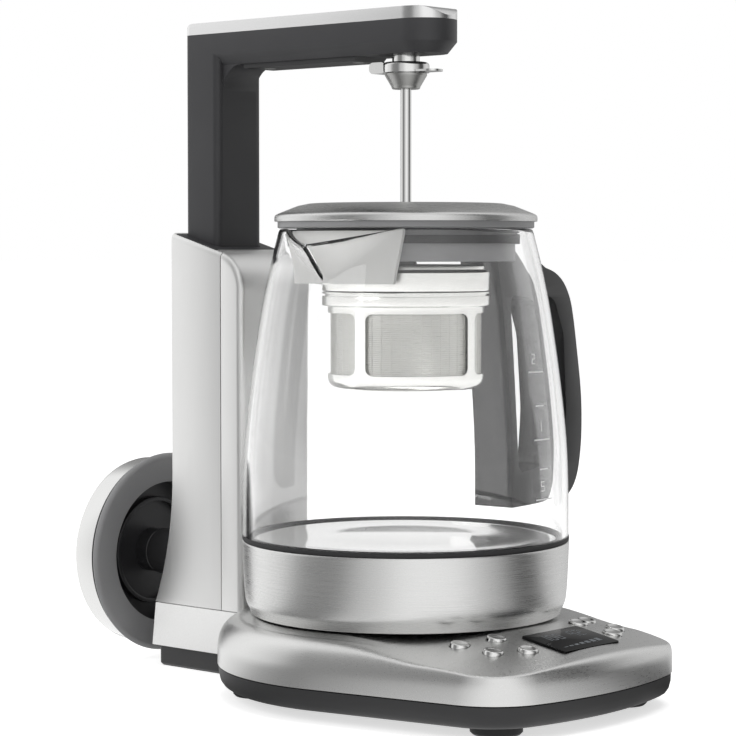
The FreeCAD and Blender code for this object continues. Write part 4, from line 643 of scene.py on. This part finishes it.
def glass_radius(z):
    for (r0, z0), (r1, z1) in zip(GLASS_LINE, GLASS_LINE[1:]):
        if z <= z1:
            return r0 + (r1 - r0) * (z - z0) / (z1 - z0)
    return GLASS_LINE[-1][0]


def beak_reach(theta, z, inside=0.0):
    """How far the beak reaches at an angle off its middle and at a height, or 0."""
    if z <= ROOT_Z:
        return 0.0
    rise = (z - ROOT_Z) / (TIP_Z - ROOT_Z)
    apex = glass_radius(ROOT_Z) + (TIP_REACH - glass_radius(ROOT_Z)) * rise
    spread = BEAK_HALF * min(1.0, (z - ROOT_Z) / (GLASS_HIGH - ROOT_Z)) ** 0.8
    if abs(theta) >= spread or spread <= 0:
        return 0.0
    side = glass_radius(z) - 0.5
    sx, sy = side * math.cos(spread), side * math.sin(spread)
    # where the ray at theta meets the straight line from the tip to the side
    c, s = math.cos(abs(theta)), math.sin(abs(theta))
    dx, dy = sx - apex, sy
    return apex * dy / (c * dy - s * dx)


def rim_height(theta, reach_at):
    neck = 46.2
    slope = (GLASS_HIGH - TIP_Z) / (TIP_REACH - neck)
    z = GLASS_HIGH
    for step in range(8):
        x = reach_at(theta, z) * math.cos(theta)
        z = GLASS_HIGH - slope * max(0.0, x - neck)
    return z


def glass_reach(theta, z):
    plain, beak = glass_radius(z), beak_reach(theta, z)
    width = 1.2
    h = max(0.0, min(1.0, 0.5 + 0.5 * (beak - plain) / width))
    return min(plain * (1 - h) + beak * h + width * h * (1 - h), TIP_REACH - 0.05)


thetas = [math.radians(t) for t in (0, 0.6, 1.4, 2.4, 4, 6, 8, 10, 12.5, 15, 17.5, 20, 22.5, 25, 27.5, 30,
                                    32, 34, 36.5, 40)]
thetas += [math.radians(40 + 140 * k / 46) for k in range(1, 46)]
around = [-t for t in reversed(thetas[1:])] + thetas + [math.pi]
GLASS_WALL = 2.4
outer_rows = []
for step in range(61):
    share = step / 60
    row = []
    for theta in around:
        top = rim_height(theta, glass_reach) if abs(theta) < BEAK_HALF * 1.1 else GLASS_HIGH
        # a quarter of the rows lie in the top fifth, where the beak is
        risen = share * 0.8 / 0.75 if share < 0.75 else 0.8 + (share - 0.75) * 0.8
        z = GLASS_LOW + (top - GLASS_LOW) * risen
        r = glass_reach(theta, z)
        row.append((-r * math.cos(theta), -r * math.sin(theta), z))
    outer_rows.append(row)


def inward(rows, wall):
    """Rows moved in along the surface's own normal."""
    moved = []
    for i, row in enumerate(rows):
        out = []
        for k, p in enumerate(row):
            right = Vector(row[(k + 1) % len(row)]) - Vector(row[k - 1])
            up = Vector(rows[min(i + 1, len(rows) - 1)][k]) - Vector(rows[max(i - 1, 0)][k])
            n = right.cross(up).normalized()
            if n.x * p[0] + n.y * p[1] < 0:
                n = -n
            q = Vector(p) - n * wall
            out.append((q.x, q.y, p[2] if i in (0, len(rows) - 1) else q.z))
        moved.append(out)
    return moved


inner_rows = inward(outer_rows, GLASS_WALL)
rim_mid = [[((a[0] + b[0]) / 2, (a[1] + b[1]) / 2, (a[2] + b[2]) / 2)
            for a, b in zip(outer_rows[-1], inner_rows[-1])]]
low_mid = [[((a[0] + b[0]) / 2, (a[1] + b[1]) / 2, a[2]) for a, b in zip(outer_rows[0], inner_rows[0])]]


def lowered(row, drop, towards, share):
    return [(a[0] + (b[0] - a[0]) * share, a[1] + (b[1] - a[1]) * share, a[2] - drop)
            for a, b in zip(row, towards)]


outer_rows[-1] = lowered(outer_rows[-1], 0.7, inner_rows[-1], 0.0)
rim_out = lowered(outer_rows[-1], -0.5, inner_rows[-1], 0.16)
inner_rows[-1] = lowered(inner_rows[-1], 0.7, outer_rows[-1], 0.0)
rim_in = lowered(inner_rows[-1], -0.5, outer_rows[-1], 0.16)
glass_rings = outer_rows + [rim_out] + rim_mid + [rim_in] + list(reversed(inner_rows)) + low_mid
piece("jug_glass_blown", skin(glass_rings, loop=True), jug_clear, "jug_glass", place=jug_turned, crease=60)

# %% [markdown]
# The volume marks are printed on the glass at the front, as short white strokes one hair thick, with
# plain numbers beside them.

# %% Volume marks
def glass_patch(a0, a1, z0, z1, lift=0.03):
    rows = []
    for z in (z0, z1):
        r = glass_radius((z0 + z1) / 2) + lift
        angles = [a0 + (a1 - a0) * k / 4 for k in range(5)]
        rows.append([(r * math.cos(a), r * math.sin(a), z) for a in angles])
    inner = [[(x * 0.9997, y * 0.9997, z) for x, y, z in row] for row in rows]
    loop = [rows[0], rows[1], inner[1], inner[0]]
    rings = [[row[k] for row in loop] for k in range(5)]
    return skin(rings)


def round_the_glass(x):
    """The angle at which a digit's own x lies on the glass, with the digit's middle at the front."""
    return math.radians(-90.0) + (x - DIGIT_WIDTH / 2) / 70.0


DIGIT_WIDTH = 2.6
marks = []
for z, spread in ((146.1, 5.0), (131.6, 2.6), (117.2, 5.0), (104.6, 2.6), (91.6, 5.0)):
    marks.append(glass_patch(math.radians(-89.0 - spread), math.radians(-89.0 + spread), z - 0.3, z + 0.3))
for z, lit in ((149.5, "abged"), (120.6, "bc"), (95.0, "afgcd")):
    for x, y, w, h in digit_bars(lit, DIGIT_WIDTH, 4.4, 0.45):
        marks.append(glass_patch(round_the_glass(x), round_the_glass(x + w), z + y, z + y + h))
volume = piece("jug_volume_marks", joined(*marks), mark_white, "jug_glass", place=jug_turned, replace=False)
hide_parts("jug_glass")

# %% [markdown]
# The foot ring is spun steel, rolled under at the bottom so that it seems to float over the base.

# %% Foot ring, seal and floor
ring_out = smooth_line([(68.9, 37.6), (70.0, 40.2), (71.3, 43.6), (71.95, 49.4), (72.4, 58.0), (72.7, 66.0),
                        (72.8, 69.1)], 5)
ring_profile = [(65.9, 37.4), (68.5, 37.4)] + ring_out + [(72.65, 69.6), (72.3, 69.8), (71.7, 69.7),
                                                          (71.6, 68.4),
                (71.2, 60.0), (70.7, 49.4), (69.0, 42.0), (67.9, 38.6), (65.9, 38.6)]
piece("jug_foot_ring", lathe(ring_profile, 192), steel_round, "jug_base_ring", place=jug_turned, crease=45)
seal_profile = [(67.9, 69.8), (72.3, 69.8), (72.75, 70.2), (72.8, 70.9), (72.7, 71.7), (72.3, 72.0),
                (67.9, 72.0)]
piece("glass_seal_ring", lathe(seal_profile, 192), rubber, "glass_seal", place=jug_turned, crease=50)
floor_profile = [(0, 71.2), (30, 71.2), (31.5, 70.9), (58, 70.9), (60, 71.2), (66.5, 71.2), (67.5, 70.9),
                 (67.9, 70.4), (67.9, 63.8),
                 (66.7, 63.8), (66.7, 69.6), (66.0, 70.0), (0, 70.0)]
piece("jug_floor_plate", lathe(floor_profile, 160), steel_bright, "heating_plate", place=jug_turned,
      crease=50)
for node, finish in (("heating_element", steel_plain), ("jug_bottom_cover", black_plastic),
                     ("jug_connector", black_plastic)):
    dressed(node, finish)

# %% [markdown]
# The handle is one moulding: a strap up the glass, a bowed grip, and a finger gap between. Its side
# view is drawn with a hole in it and extruded, and a broad bevel gives the grip its hand-friendly
# section.

# %% Handle
grip = smooth_line([(98.5, 190.0), (107.0, 187.6), (114.5, 183.0), (120.2, 175.5), (123.5, 166.0),
                    (127.0, 150.0), (130.4, 132.0),
                   (131.5, 118.0), (130.9, 104.0), (128.0, 91.0), (123.0, 83.4), (115.5, 78.6)], 5)
strap_in = [(glass_radius(z) + 0.35, z) for z in (205.0, 196.0, 186.0, 176.0, 166.0, 156.0, 144.0, 130.0,
                                                  116.0, 104.0, 92.0, 84.0, 78.0)]
handle_out = [(56.9 + 9.4, 205.0), (80.0, 199.2)] + grip + [(108.0, 78.0), (90.0, 78.0)] + [
    (x, z) for x, z in reversed(strap_in)]
gap = soften([(glass_radius(94.0) + 7.0, 94.0, 5), (glass_radius(178.0) + 9.0, 178.0, 5), (105.5, 176.0, 8),
              (114.5, 158.0, 14),
              (117.5, 122.0, 30), (113.5, 96.0, 7)], 8)


def holed_prism(outline, hole, half):
    """An outline with a hole, extruded both ways: the fill is made by a 2-D curve."""
    curve = bpy.data.curves.new("side view", "CURVE")
    curve.dimensions = "2D"
    curve.fill_mode = "BOTH"
    for path in (outline, hole):
        line = curve.splines.new("POLY")
        line.points.add(len(path) - 1)
        for dot, (x, z) in zip(line.points, path):
            dot.co = (x, z, 0, 1)
        line.use_cyclic_u = True
    curve.extrude = half
    holder = bpy.data.objects.new("side view", curve)
    bpy.context.scene.collection.objects.link(holder)
    mesh = settled_curve(holder)
    return [(v.co.x, v.co.z, v.co.y) for v in mesh.vertices], [tuple(p.vertices) for p in mesh.polygons]


def settled_curve(holder):
    graph = bpy.context.evaluated_depsgraph_get()
    graph.update()
    mesh = bpy.data.meshes.new_from_object(holder.evaluated_get(graph))
    bpy.data.objects.remove(holder)
    return mesh


piece("jug_handle_moulding", holed_prism(handle_out, gap, 11.0), black_plastic, "jug_handle",
      place=jug_turned, crease=38,
               bevel=2.6)
dressed("spout_filter", frosted)

# %% [markdown]
# ## The lids
#
# The jug's lid is a spun steel cover over a grey moulding with a skirt. The light ring under the steel
# is the moulding's deck on the glass rim.

# %% Jug lid
cover = [(4.6, 218.9), (42.0, 218.9), (43.2, 218.8), (48.0, 217.8), (56.4, 214.5), (57.6, 213.9),
         (58.15, 213.3), (58.3, 212.6), (58.3, 211.2),
         (58.1, 210.9), (57.1, 210.9), (57.1, 213.05), (42.0, 217.0), (4.6, 217.8)]
piece("lid_cover_steel", lathe(cover, 192), steel_lid, "lid_cover", crease=40)
plug = [(4.5, 207.9), (46.5, 207.9), (46.5, 193.6), (46.9, 193.2), (48.1, 193.2), (48.5, 193.6),
        (48.5, 207.9), (56.2, 207.9), (56.9, 208.3),
        (56.9, 211.6), (57.0, 213.0), (7.5, 213.0), (7.5, 217.6), (4.5, 217.6)]
piece("lid_moulding_grey", lathe(plug, 160), grey_plastic, "lid_plug", crease=40)
dressed("lid_seal", rubber)
dressed("lid_bush", steel_bright)

# %% [markdown]
# The spare lid hangs with its underside towards the tower: a steel band, a dark seal in its groove, a
# bright rolled bead and a deep bowl, coloured dark as painted shade, whose hub is pushed on the dock.

# %% Spare lid
SPARE_FRONT, SPARE_Z = 152.0, 51.6


def hung(p):
    """Turns a drawing about +Z to one about +Y, at the spare lid's place."""
    return (p[0], SPARE_FRONT + p[2], SPARE_Z + p[1])


band = [(43.5, 4.6), (45.0, 4.7), (45.0, 16.4), (44.6, 17.8), (43.4, 19.2), (41.5, 20.1), (39.0, 20.6),
        (0, 20.6), (0, 19.0), (39.0, 19.0),
        (43.4, 15.6), (43.4, 4.8)]
piece("spare_lid_cover_steel", lathe(band, 160), steel_bright, "spare_lid_cover", place=hung, crease=40)
bowl = [(34.0, 2.2), (34.0, 0.9), (35.2, 0.6), (45.4, 0.0), (46.6, 0.15), (47.6, 0.8), (48.0, 1.5),
        (47.7, 2.2), (43.3, 2.2), (43.3, 14.6),
        (0, 14.6), (0, 12.6), (7.8, 12.6), (7.8, 5.2), (8.2, 5.0), (10.2, 5.0), (10.5, 5.3), (10.5, 12.6),
        (24.0, 12.6), (24.0, 8.8), (24.3, 8.6),
        (25.7, 8.6), (26.0, 8.8), (26.0, 12.6), (34.0, 12.6)]
spare_body = piece("spare_lid_moulding", lathe(bowl, 144), [grey_plastic, spare_bowl_painted_shade], "spare_lid_plug",
                   place=hung, crease=40)
hub_line = at(0, SPARE_FRONT, SPARE_Z)
# faces inside the bowl's radius take the dark material: painted shade in the recess of the same moulding
for face in spare_body.data.polygons:
    away = math.hypot(face.center.x - hub_line.x, face.center.z - hub_line.z) / MM
    face.material_index = 1 if away < 34.2 else 0
dressed("spare_lid_seal", rubber)
dressed("lid_dock", dark_plastic)

# %% [markdown]
# ## Rod, basket and coupling
#
# The basket is pressed steel with four rounded windows and a fine woven strainer inside. The strainer's
# wires are made by Geometry Nodes: one hoop repeated up the wall, one upright repeated round it.

# %% Basket
BASKET_TURN = math.radians(51.0)
cup_line = soften([(0, 137.0, 0), (34.7, 137.0, 5.0), (34.7, 173.6, 0.6), (37.2, 173.6, 0.8),
                   (37.2, 178.0, 0.2), (36.0, 178.0, 0), (36.0, 179.0, 0),
                   (37.2, 179.0, 0.2), (37.2, 179.9, 0.4), (33.4, 179.9, 0.3), (33.4, 186.8, 0.3),
                   (32.4, 186.8, 0.3), (32.4, 177.0, 0), (33.7, 174.0, 0),
                   (33.7, 139.5, 3.0), (0, 139.5, 0)], 5)
window_cuts = []
for number in range(4):
    opening = soften([(-22.5, 143.7, 3), (22.5, 143.7, 3), (22.5, 170.6, 3), (-22.5, 170.6, 3)], 6)
    a = BASKET_TURN + math.pi / 2 * number
    c, s = math.cos(a), math.sin(a)
    form = skin([[(x * c - y * s, x * s + y * c, z) for y, z in opening] for x in (21.0, 40.0)])
    window_cuts.append(mesh_of("window", *form))
piece("basket_cup_steel", lathe(cup_line, 160), steel_basket, "basket_frame", cut=window_cuts, crease=38)


def hoops(name, radius, low, high, pitch, wire, uprights):
    """Geometry Nodes: hoops up the wall and uprights round it, made real."""
    group = bpy.data.node_groups.new(name, "GeometryNodeTree")
    for label, kind in (("Radius", "Float"), ("Pitch", "Float"), ("Hoops", "Int"), ("Uprights", "Int"),
                        ("Wire", "Float"), ("Low", "Float")):
        group.interface.new_socket(label, in_out="INPUT", socket_type="NodeSocket" + kind)
    group.interface.new_socket("Mesh", in_out="OUTPUT", socket_type="NodeSocketGeometry")
    start = group.nodes.new("NodeGroupInput")
    value = start.outputs
    end = group.nodes.new("NodeGroupOutput")
    hoop = add(group, "GeometryNodeCurvePrimitiveCircle", Resolution=96, Radius=value["Radius"])
    section = add(group, "GeometryNodeCurvePrimitiveCircle", Resolution=5, Radius=value["Wire"])
    solid_hoop = add(group, "GeometryNodeCurveToMesh", Curve=hoop.outputs["Curve"],
                     Profile_Curve=section.outputs["Curve"])
    first = add(group, "ShaderNodeCombineXYZ", Z=value["Low"])
    step = add(group, "ShaderNodeCombineXYZ", Z=value["Pitch"])
    stack = add(group, "GeometryNodeMeshLine", {"mode": "OFFSET"}, Count=value["Hoops"],
                Start_Location=first.outputs[0],
                Offset=step.outputs[0])
    rows = add(group, "GeometryNodeInstanceOnPoints", Points=stack.outputs["Mesh"],
               Instance=solid_hoop.outputs["Mesh"])
    rise = add(group, "ShaderNodeMath", {"operation": "MULTIPLY"}, i0=value["Pitch"], i1=value["Hoops"])
    top = add(group, "ShaderNodeMath", {"operation": "ADD"}, i0=rise.outputs[0], i1=value["Low"])
    foot = add(group, "ShaderNodeCombineXYZ", X=value["Radius"], Z=value["Low"])
    head = add(group, "ShaderNodeCombineXYZ", X=value["Radius"], Z=top.outputs[0])
    post = add(group, "GeometryNodeCurvePrimitiveLine", Start=foot.outputs[0], End=head.outputs[0])
    solid_post = add(group, "GeometryNodeCurveToMesh", Curve=post.outputs["Curve"],
                     Profile_Curve=section.outputs["Curve"])
    spots = add(group, "GeometryNodeMeshLine", {"mode": "OFFSET"}, Count=value["Uprights"],
                Offset=(0, 0, 0))
    index = add(group, "GeometryNodeInputIndex")
    full = add(group, "ShaderNodeMath", {"operation": "DIVIDE"}, i0=math.tau, i1=value["Uprights"])
    angle = add(group, "ShaderNodeMath", {"operation": "MULTIPLY"}, i0=index.outputs[0], i1=full.outputs[0])
    turn = add(group, "ShaderNodeCombineXYZ", Z=angle.outputs[0])
    posts = add(group, "GeometryNodeInstanceOnPoints", Points=spots.outputs["Mesh"],
                Instance=solid_post.outputs["Mesh"],
                Rotation=turn.outputs[0])
    both = group.nodes.new("GeometryNodeJoinGeometry")
    group.links.new(rows.outputs[0], both.inputs[0])
    group.links.new(posts.outputs[0], both.inputs[0])
    real = add(group, "GeometryNodeRealizeInstances", Geometry=both.outputs[0])
    painted = add(group, "GeometryNodeSetMaterial", Geometry=real.outputs[0])
    painted.inputs["Material"].default_value = steel_mesh
    group.links.new(painted.outputs[0], end.inputs[0])
    holder = loose(bpy.data.meshes.new(name), name)
    modifier = holder.modifiers.new("wires", "NODES")
    modifier.node_group = group
    given = {"Radius": radius, "Pitch": pitch, "Hoops": int((high - low) / pitch), "Uprights": uprights,
             "Wire": wire, "Low": low}
    for item in group.interface.items_tree:
        if item.in_out == "INPUT":
            modifier[item.identifier] = given[item.name]
    mesh = settled(holder)
    points = [tuple(v.co) for v in mesh.vertices]
    faces = [tuple(p.vertices) for p in mesh.polygons]
    bpy.data.objects.remove(holder)
    return points, faces


# woven so finely that it isn't seen through: a thin wall stands for the wires between the drawn hoops
mesh_form = joined(hoops("strainer", 33.35, 140.2, 173.4, 0.9, 0.17, 48),
                   lathe([(33.0, 140.2), (33.3, 140.2), (33.3, 173.4), (33.0, 173.4)], 96))
piece("basket_strainer_wires", mesh_form, steel_mesh, "basket_mesh", crease=60)

cap_line = soften([(2.45, 193.3, 0), (4.6, 193.3, 0.5), (5.0, 191.8, 0.3), (34.8, 191.8, 0.8),
                   (34.9, 189.5, 0.4), (37.2, 188.7, 0.9), (37.2, 180.2, 0.5),
                   (33.7, 180.2, 0), (33.7, 189.8, 0), (2.45, 189.8, 0)], 4)
piece("basket_cap_steel", lathe(cap_line, 160), steel_basket, "basket_cap", crease=38)
rod_line = [(0, 185.8), (2.4, 185.8), (2.4, 287.4), (1.8, 288.0), (0, 288.0)]
piece("lift_rod_polished", lathe(rod_line, 48), steel_bright, "lift_rod", crease=40)
socket_line = soften([(2.45, 269.4, 0), (6.1, 269.4, 0.6), (6.5, 270.6, 0.3), (9.35, 275.4, 0.5),
                      (9.35, 276.3, 0.2), (2.45, 276.3, 0)], 4)
piece("rod_socket_cone", lathe(socket_line, 72), steel_plain, "rod_socket", crease=38)
dressed("coupling_hub", steel_bright)
dressed("release_lever", steel_bright)

# %% [markdown]
# ## Arm and column
#
# The arm's housing has broad chamfers below and a large inner corner in the CAD already, so only its
# sharp edges are broken, as a mould's are. It gets the same satin plastic all over, and the cap on top
# is satin aluminium, rounded down at the nose.

# %% Arm
dressed("arm_housing", arm_plastic, crease=38, bevel=1.0)
dressed("arm_cap", cap_metal, crease=38, bevel=0.5)
dressed("arm_underplate", dark_plastic)
dressed("arm_screws", steel_plain)
dressed("drive_nut", brass)

# %% [markdown]
# ## The tower
#
# Two light metal covers meet at an upright seam. The top slopes up to the back, where a dark bezel
# lets the column through, and the back flares out over the plinth. A small bevel on the covers' edges
# makes the seam show as a soft line.

# %% Tower
SEAM_BEVEL = 0.5
SHARP_COVERS = ("tower_front_cover", "tower_rear_cover", "tower_plinth")
for node, finish in (("tower_front_cover", side_metal), ("tower_rear_cover", side_metal),
                     ("tower_top_bezel", arm_plastic),
                     ("tower_plinth", light_plastic), ("tower_foot", dark_plastic),
                     ("tower_frame", dark_plastic),
                     ("cord_gland", rubber), ("lift_motor", steel_plain), ("motor_gearbox", steel_plain),
                     ("screw_bearing", brass),
                     ("power_board", board_green), ("limit_switches", black_plastic),
                     ("lead_screw", steel_plain)):
    dressed(node, finish, bevel=SEAM_BEVEL if node in SHARP_COVERS else None)

# %% [markdown]
# ## Room, light and camera
#
# A plain white room: the floor and the world are white to the camera and through glass. Steel only
# looks like steel when it mirrors something dark too, so its reflections see grey gaps in the room,
# as in a studio where no lamp stands. The gaps lie by bearing round the set, low on the floor and
# higher up on screens, so both read them from one function.

# %% Grey gaps of the room
BAND_STOPS = ((-180, 0.26), (-160, 0.72), (-135, 1.12), (-112, 1.1), (-88, 0.62), (-66, 0.09), (-52, 0.1),
              (-40, 0.7), (-20, 0.85),
              (8, 0.7), (30, 0.3), (58, 0.32), (80, 1.1), (112, 1.15), (134, 0.95), (160, 0.3), (180, 0.26))


def room_bands(tree):
    """Light and dark by bearing round the set, read from a place in the room."""
    coords = add(tree, "ShaderNodeTexCoord")
    split = add(tree, "ShaderNodeSeparateXYZ", Vector=coords.outputs["Object"])
    bearing = add(tree, "ShaderNodeMath", {"operation": "ARCTAN2"}, i0=split.outputs["Y"],
                  i1=split.outputs["X"])
    turns = add(tree, "ShaderNodeMapRange", Value=bearing.outputs[0], i1=-math.pi, i2=math.pi, i3=0.0,
                i4=1.0)
    bands = add(tree, "ShaderNodeValToRGB", Fac=turns.outputs[0])
    ramp = bands.color_ramp
    ramp.interpolation = "EASE"
    for number, (degrees, level) in enumerate(BAND_STOPS):
        place = (degrees + 180) / 360
        if number == 0:
            spot = ramp.elements[0]
        elif number == len(BAND_STOPS) - 1:
            spot = ramp.elements[-1]
        else:
            spot = ramp.elements.new(place)
        spot.position = place
        spot.color = (level, level, level, 1)
    return bands.outputs["Color"]


# %% Floor
FLOOR_GLOW = 0.62
floor_mesh = bpy.data.meshes.new("floor")
floor_mesh.from_pydata([(-30, -30, 0), (30, -30, 0), (30, 30, 0), (-30, 30, 0)], [], [(0, 1, 2, 3)])
floor = loose(floor_mesh, "floor")
paper = bpy.data.materials.new("paper, white floor")
paper.use_nodes = True
tree = paper.node_tree
tree.nodes.clear()
out = add(tree, "ShaderNodeOutputMaterial")
matt = add(tree, "ShaderNodeBsdfDiffuse", Color=(0.8, 0.8, 0.8, 1))
glow = add(tree, "ShaderNodeEmission", Color=(1, 1, 1, 1))
seen = add(tree, "ShaderNodeLightPath")
either = add(tree, "ShaderNodeMath", {"operation": "MAXIMUM"}, i0=seen.outputs["Is Camera Ray"],
             i1=seen.outputs["Is Transmission Ray"])
share = add(tree, "ShaderNodeMath", {"operation": "MULTIPLY"}, i0=either.outputs[0], i1=FLOOR_GLOW)
tree.links.new(share.outputs[0], glow.inputs["Strength"])
total = add(tree, "ShaderNodeAddShader", i0=matt.outputs[0], i1=glow.outputs[0])
in_steel = add(tree, "ShaderNodeEmission", Color=room_bands(tree), Strength=1.0)
# a ray straight through glass counts as glossy too, so it is taken out again
off_steel = add(tree, "ShaderNodeMath", {"operation": "SUBTRACT", "use_clamp": True},
                i0=seen.outputs["Is Glossy Ray"],
                i1=seen.outputs["Is Transmission Ray"])
shown = add(tree, "ShaderNodeMixShader", i0=off_steel.outputs[0], i1=total.outputs[0],
            i2=in_steel.outputs[0])
tree.links.new(shown.outputs[0], out.inputs["Surface"])
floor_mesh.materials.append(paper)

# %% World
world = bpy.data.worlds.new("studio")
bpy.context.scene.world = world
world.use_nodes = True
tree = world.node_tree
tree.nodes.clear()
out = add(tree, "ShaderNodeOutputWorld")
rays = add(tree, "ShaderNodeLightPath")
mirrored = add(tree, "ShaderNodeBackground", Color=(1, 1, 1, 1), Strength=0.9)
lighting = add(tree, "ShaderNodeBackground", Color=(1, 1, 1, 1), Strength=0.5)
white = add(tree, "ShaderNodeBackground", Color=(1, 1, 1, 1), Strength=1.0)
first = add(tree, "ShaderNodeMixShader", i0=rays.outputs["Is Glossy Ray"], i1=lighting.outputs[0],
            i2=mirrored.outputs[0])
plain = add(tree, "ShaderNodeMath", {"operation": "MAXIMUM"}, i0=rays.outputs["Is Camera Ray"],
            i1=rays.outputs["Is Transmission Ray"])
second = add(tree, "ShaderNodeMixShader", i0=plain.outputs[0], i1=first.outputs[0], i2=white.outputs[0])
tree.links.new(second.outputs[0], out.inputs["Surface"])


# %% [markdown]
# Steel mirrors the room at eye height, so the bands on it come from a ring of paper screens round the
# set: white ones, with grey gaps between them where a studio has no lamp. Only reflections see
# the screens. They stand in the room, so they stay where they are when the camera walks round.

# %% Screens
screen_points, screen_faces = lathe([(950, 0.5), (950, 1500)], 96, closed=False)
screen_mesh = bpy.data.meshes.new("screens")
screen_mesh.from_pydata([(x * MM, y * MM, z * MM) for x, y, z in screen_points], [], screen_faces)
screens = loose(screen_mesh, "screens")
paper_ring = bpy.data.materials.new("paper, white and grey screens")
paper_ring.use_nodes = True
tree = paper_ring.node_tree
tree.nodes.clear()
out = add(tree, "ShaderNodeOutputMaterial")
glow = add(tree, "ShaderNodeEmission", Color=room_bands(tree), Strength=1.0)
through = add(tree, "ShaderNodeLightPath")
nothing = add(tree, "ShaderNodeBsdfTransparent")
shown = add(tree, "ShaderNodeMixShader", i0=through.outputs["Is Transmission Ray"], i1=glow.outputs[0],
            i2=nothing.outputs[0])
tree.links.new(shown.outputs[0], out.inputs["Surface"])
screen_mesh.materials.append(paper_ring)
for kind in ("camera", "diffuse", "transmission", "shadow", "volume_scatter"):
    setattr(screens, "visible_" + kind, False)

# %% Lamps
def softbox(name, place, aim, size, power):
    lamp = bpy.data.lights.new(name, "AREA")
    lamp.shape = "RECTANGLE"
    lamp.size, lamp.size_y = size
    lamp.energy = power
    thing = bpy.data.objects.new(name, lamp)
    bpy.context.scene.collection.objects.link(thing)
    thing.location = place
    thing.visible_glossy = False
    thing.rotation_euler = (Vector(aim) - Vector(place)).to_track_quat("-Z", "Y").to_euler()
    return thing


softbox("key, left", (-1.5, 0.3, 0.9), (0, 0, 0.12), (1.0, 1.2), 11)
softbox("top", (0.1, -0.2, 1.7), (0, 0, 0.1), (1.2, 1.2), 12)

# %% Camera
camera_data = bpy.data.cameras.new("camera")
camera_data.lens = 119.97
camera_data.sensor_width = 36.0
camera_data.clip_start = 0.01
camera = bpy.data.objects.new("camera", camera_data)
camera.location = (-0.8507, -0.7385, 0.1988)
camera.rotation_euler = Euler((math.radians(87.222), 0.0, math.radians(-48.47)))
bpy.context.scene.collection.objects.link(camera)
bpy.context.scene.camera = camera
bpy.context.scene.view_settings.view_transform = "Standard"
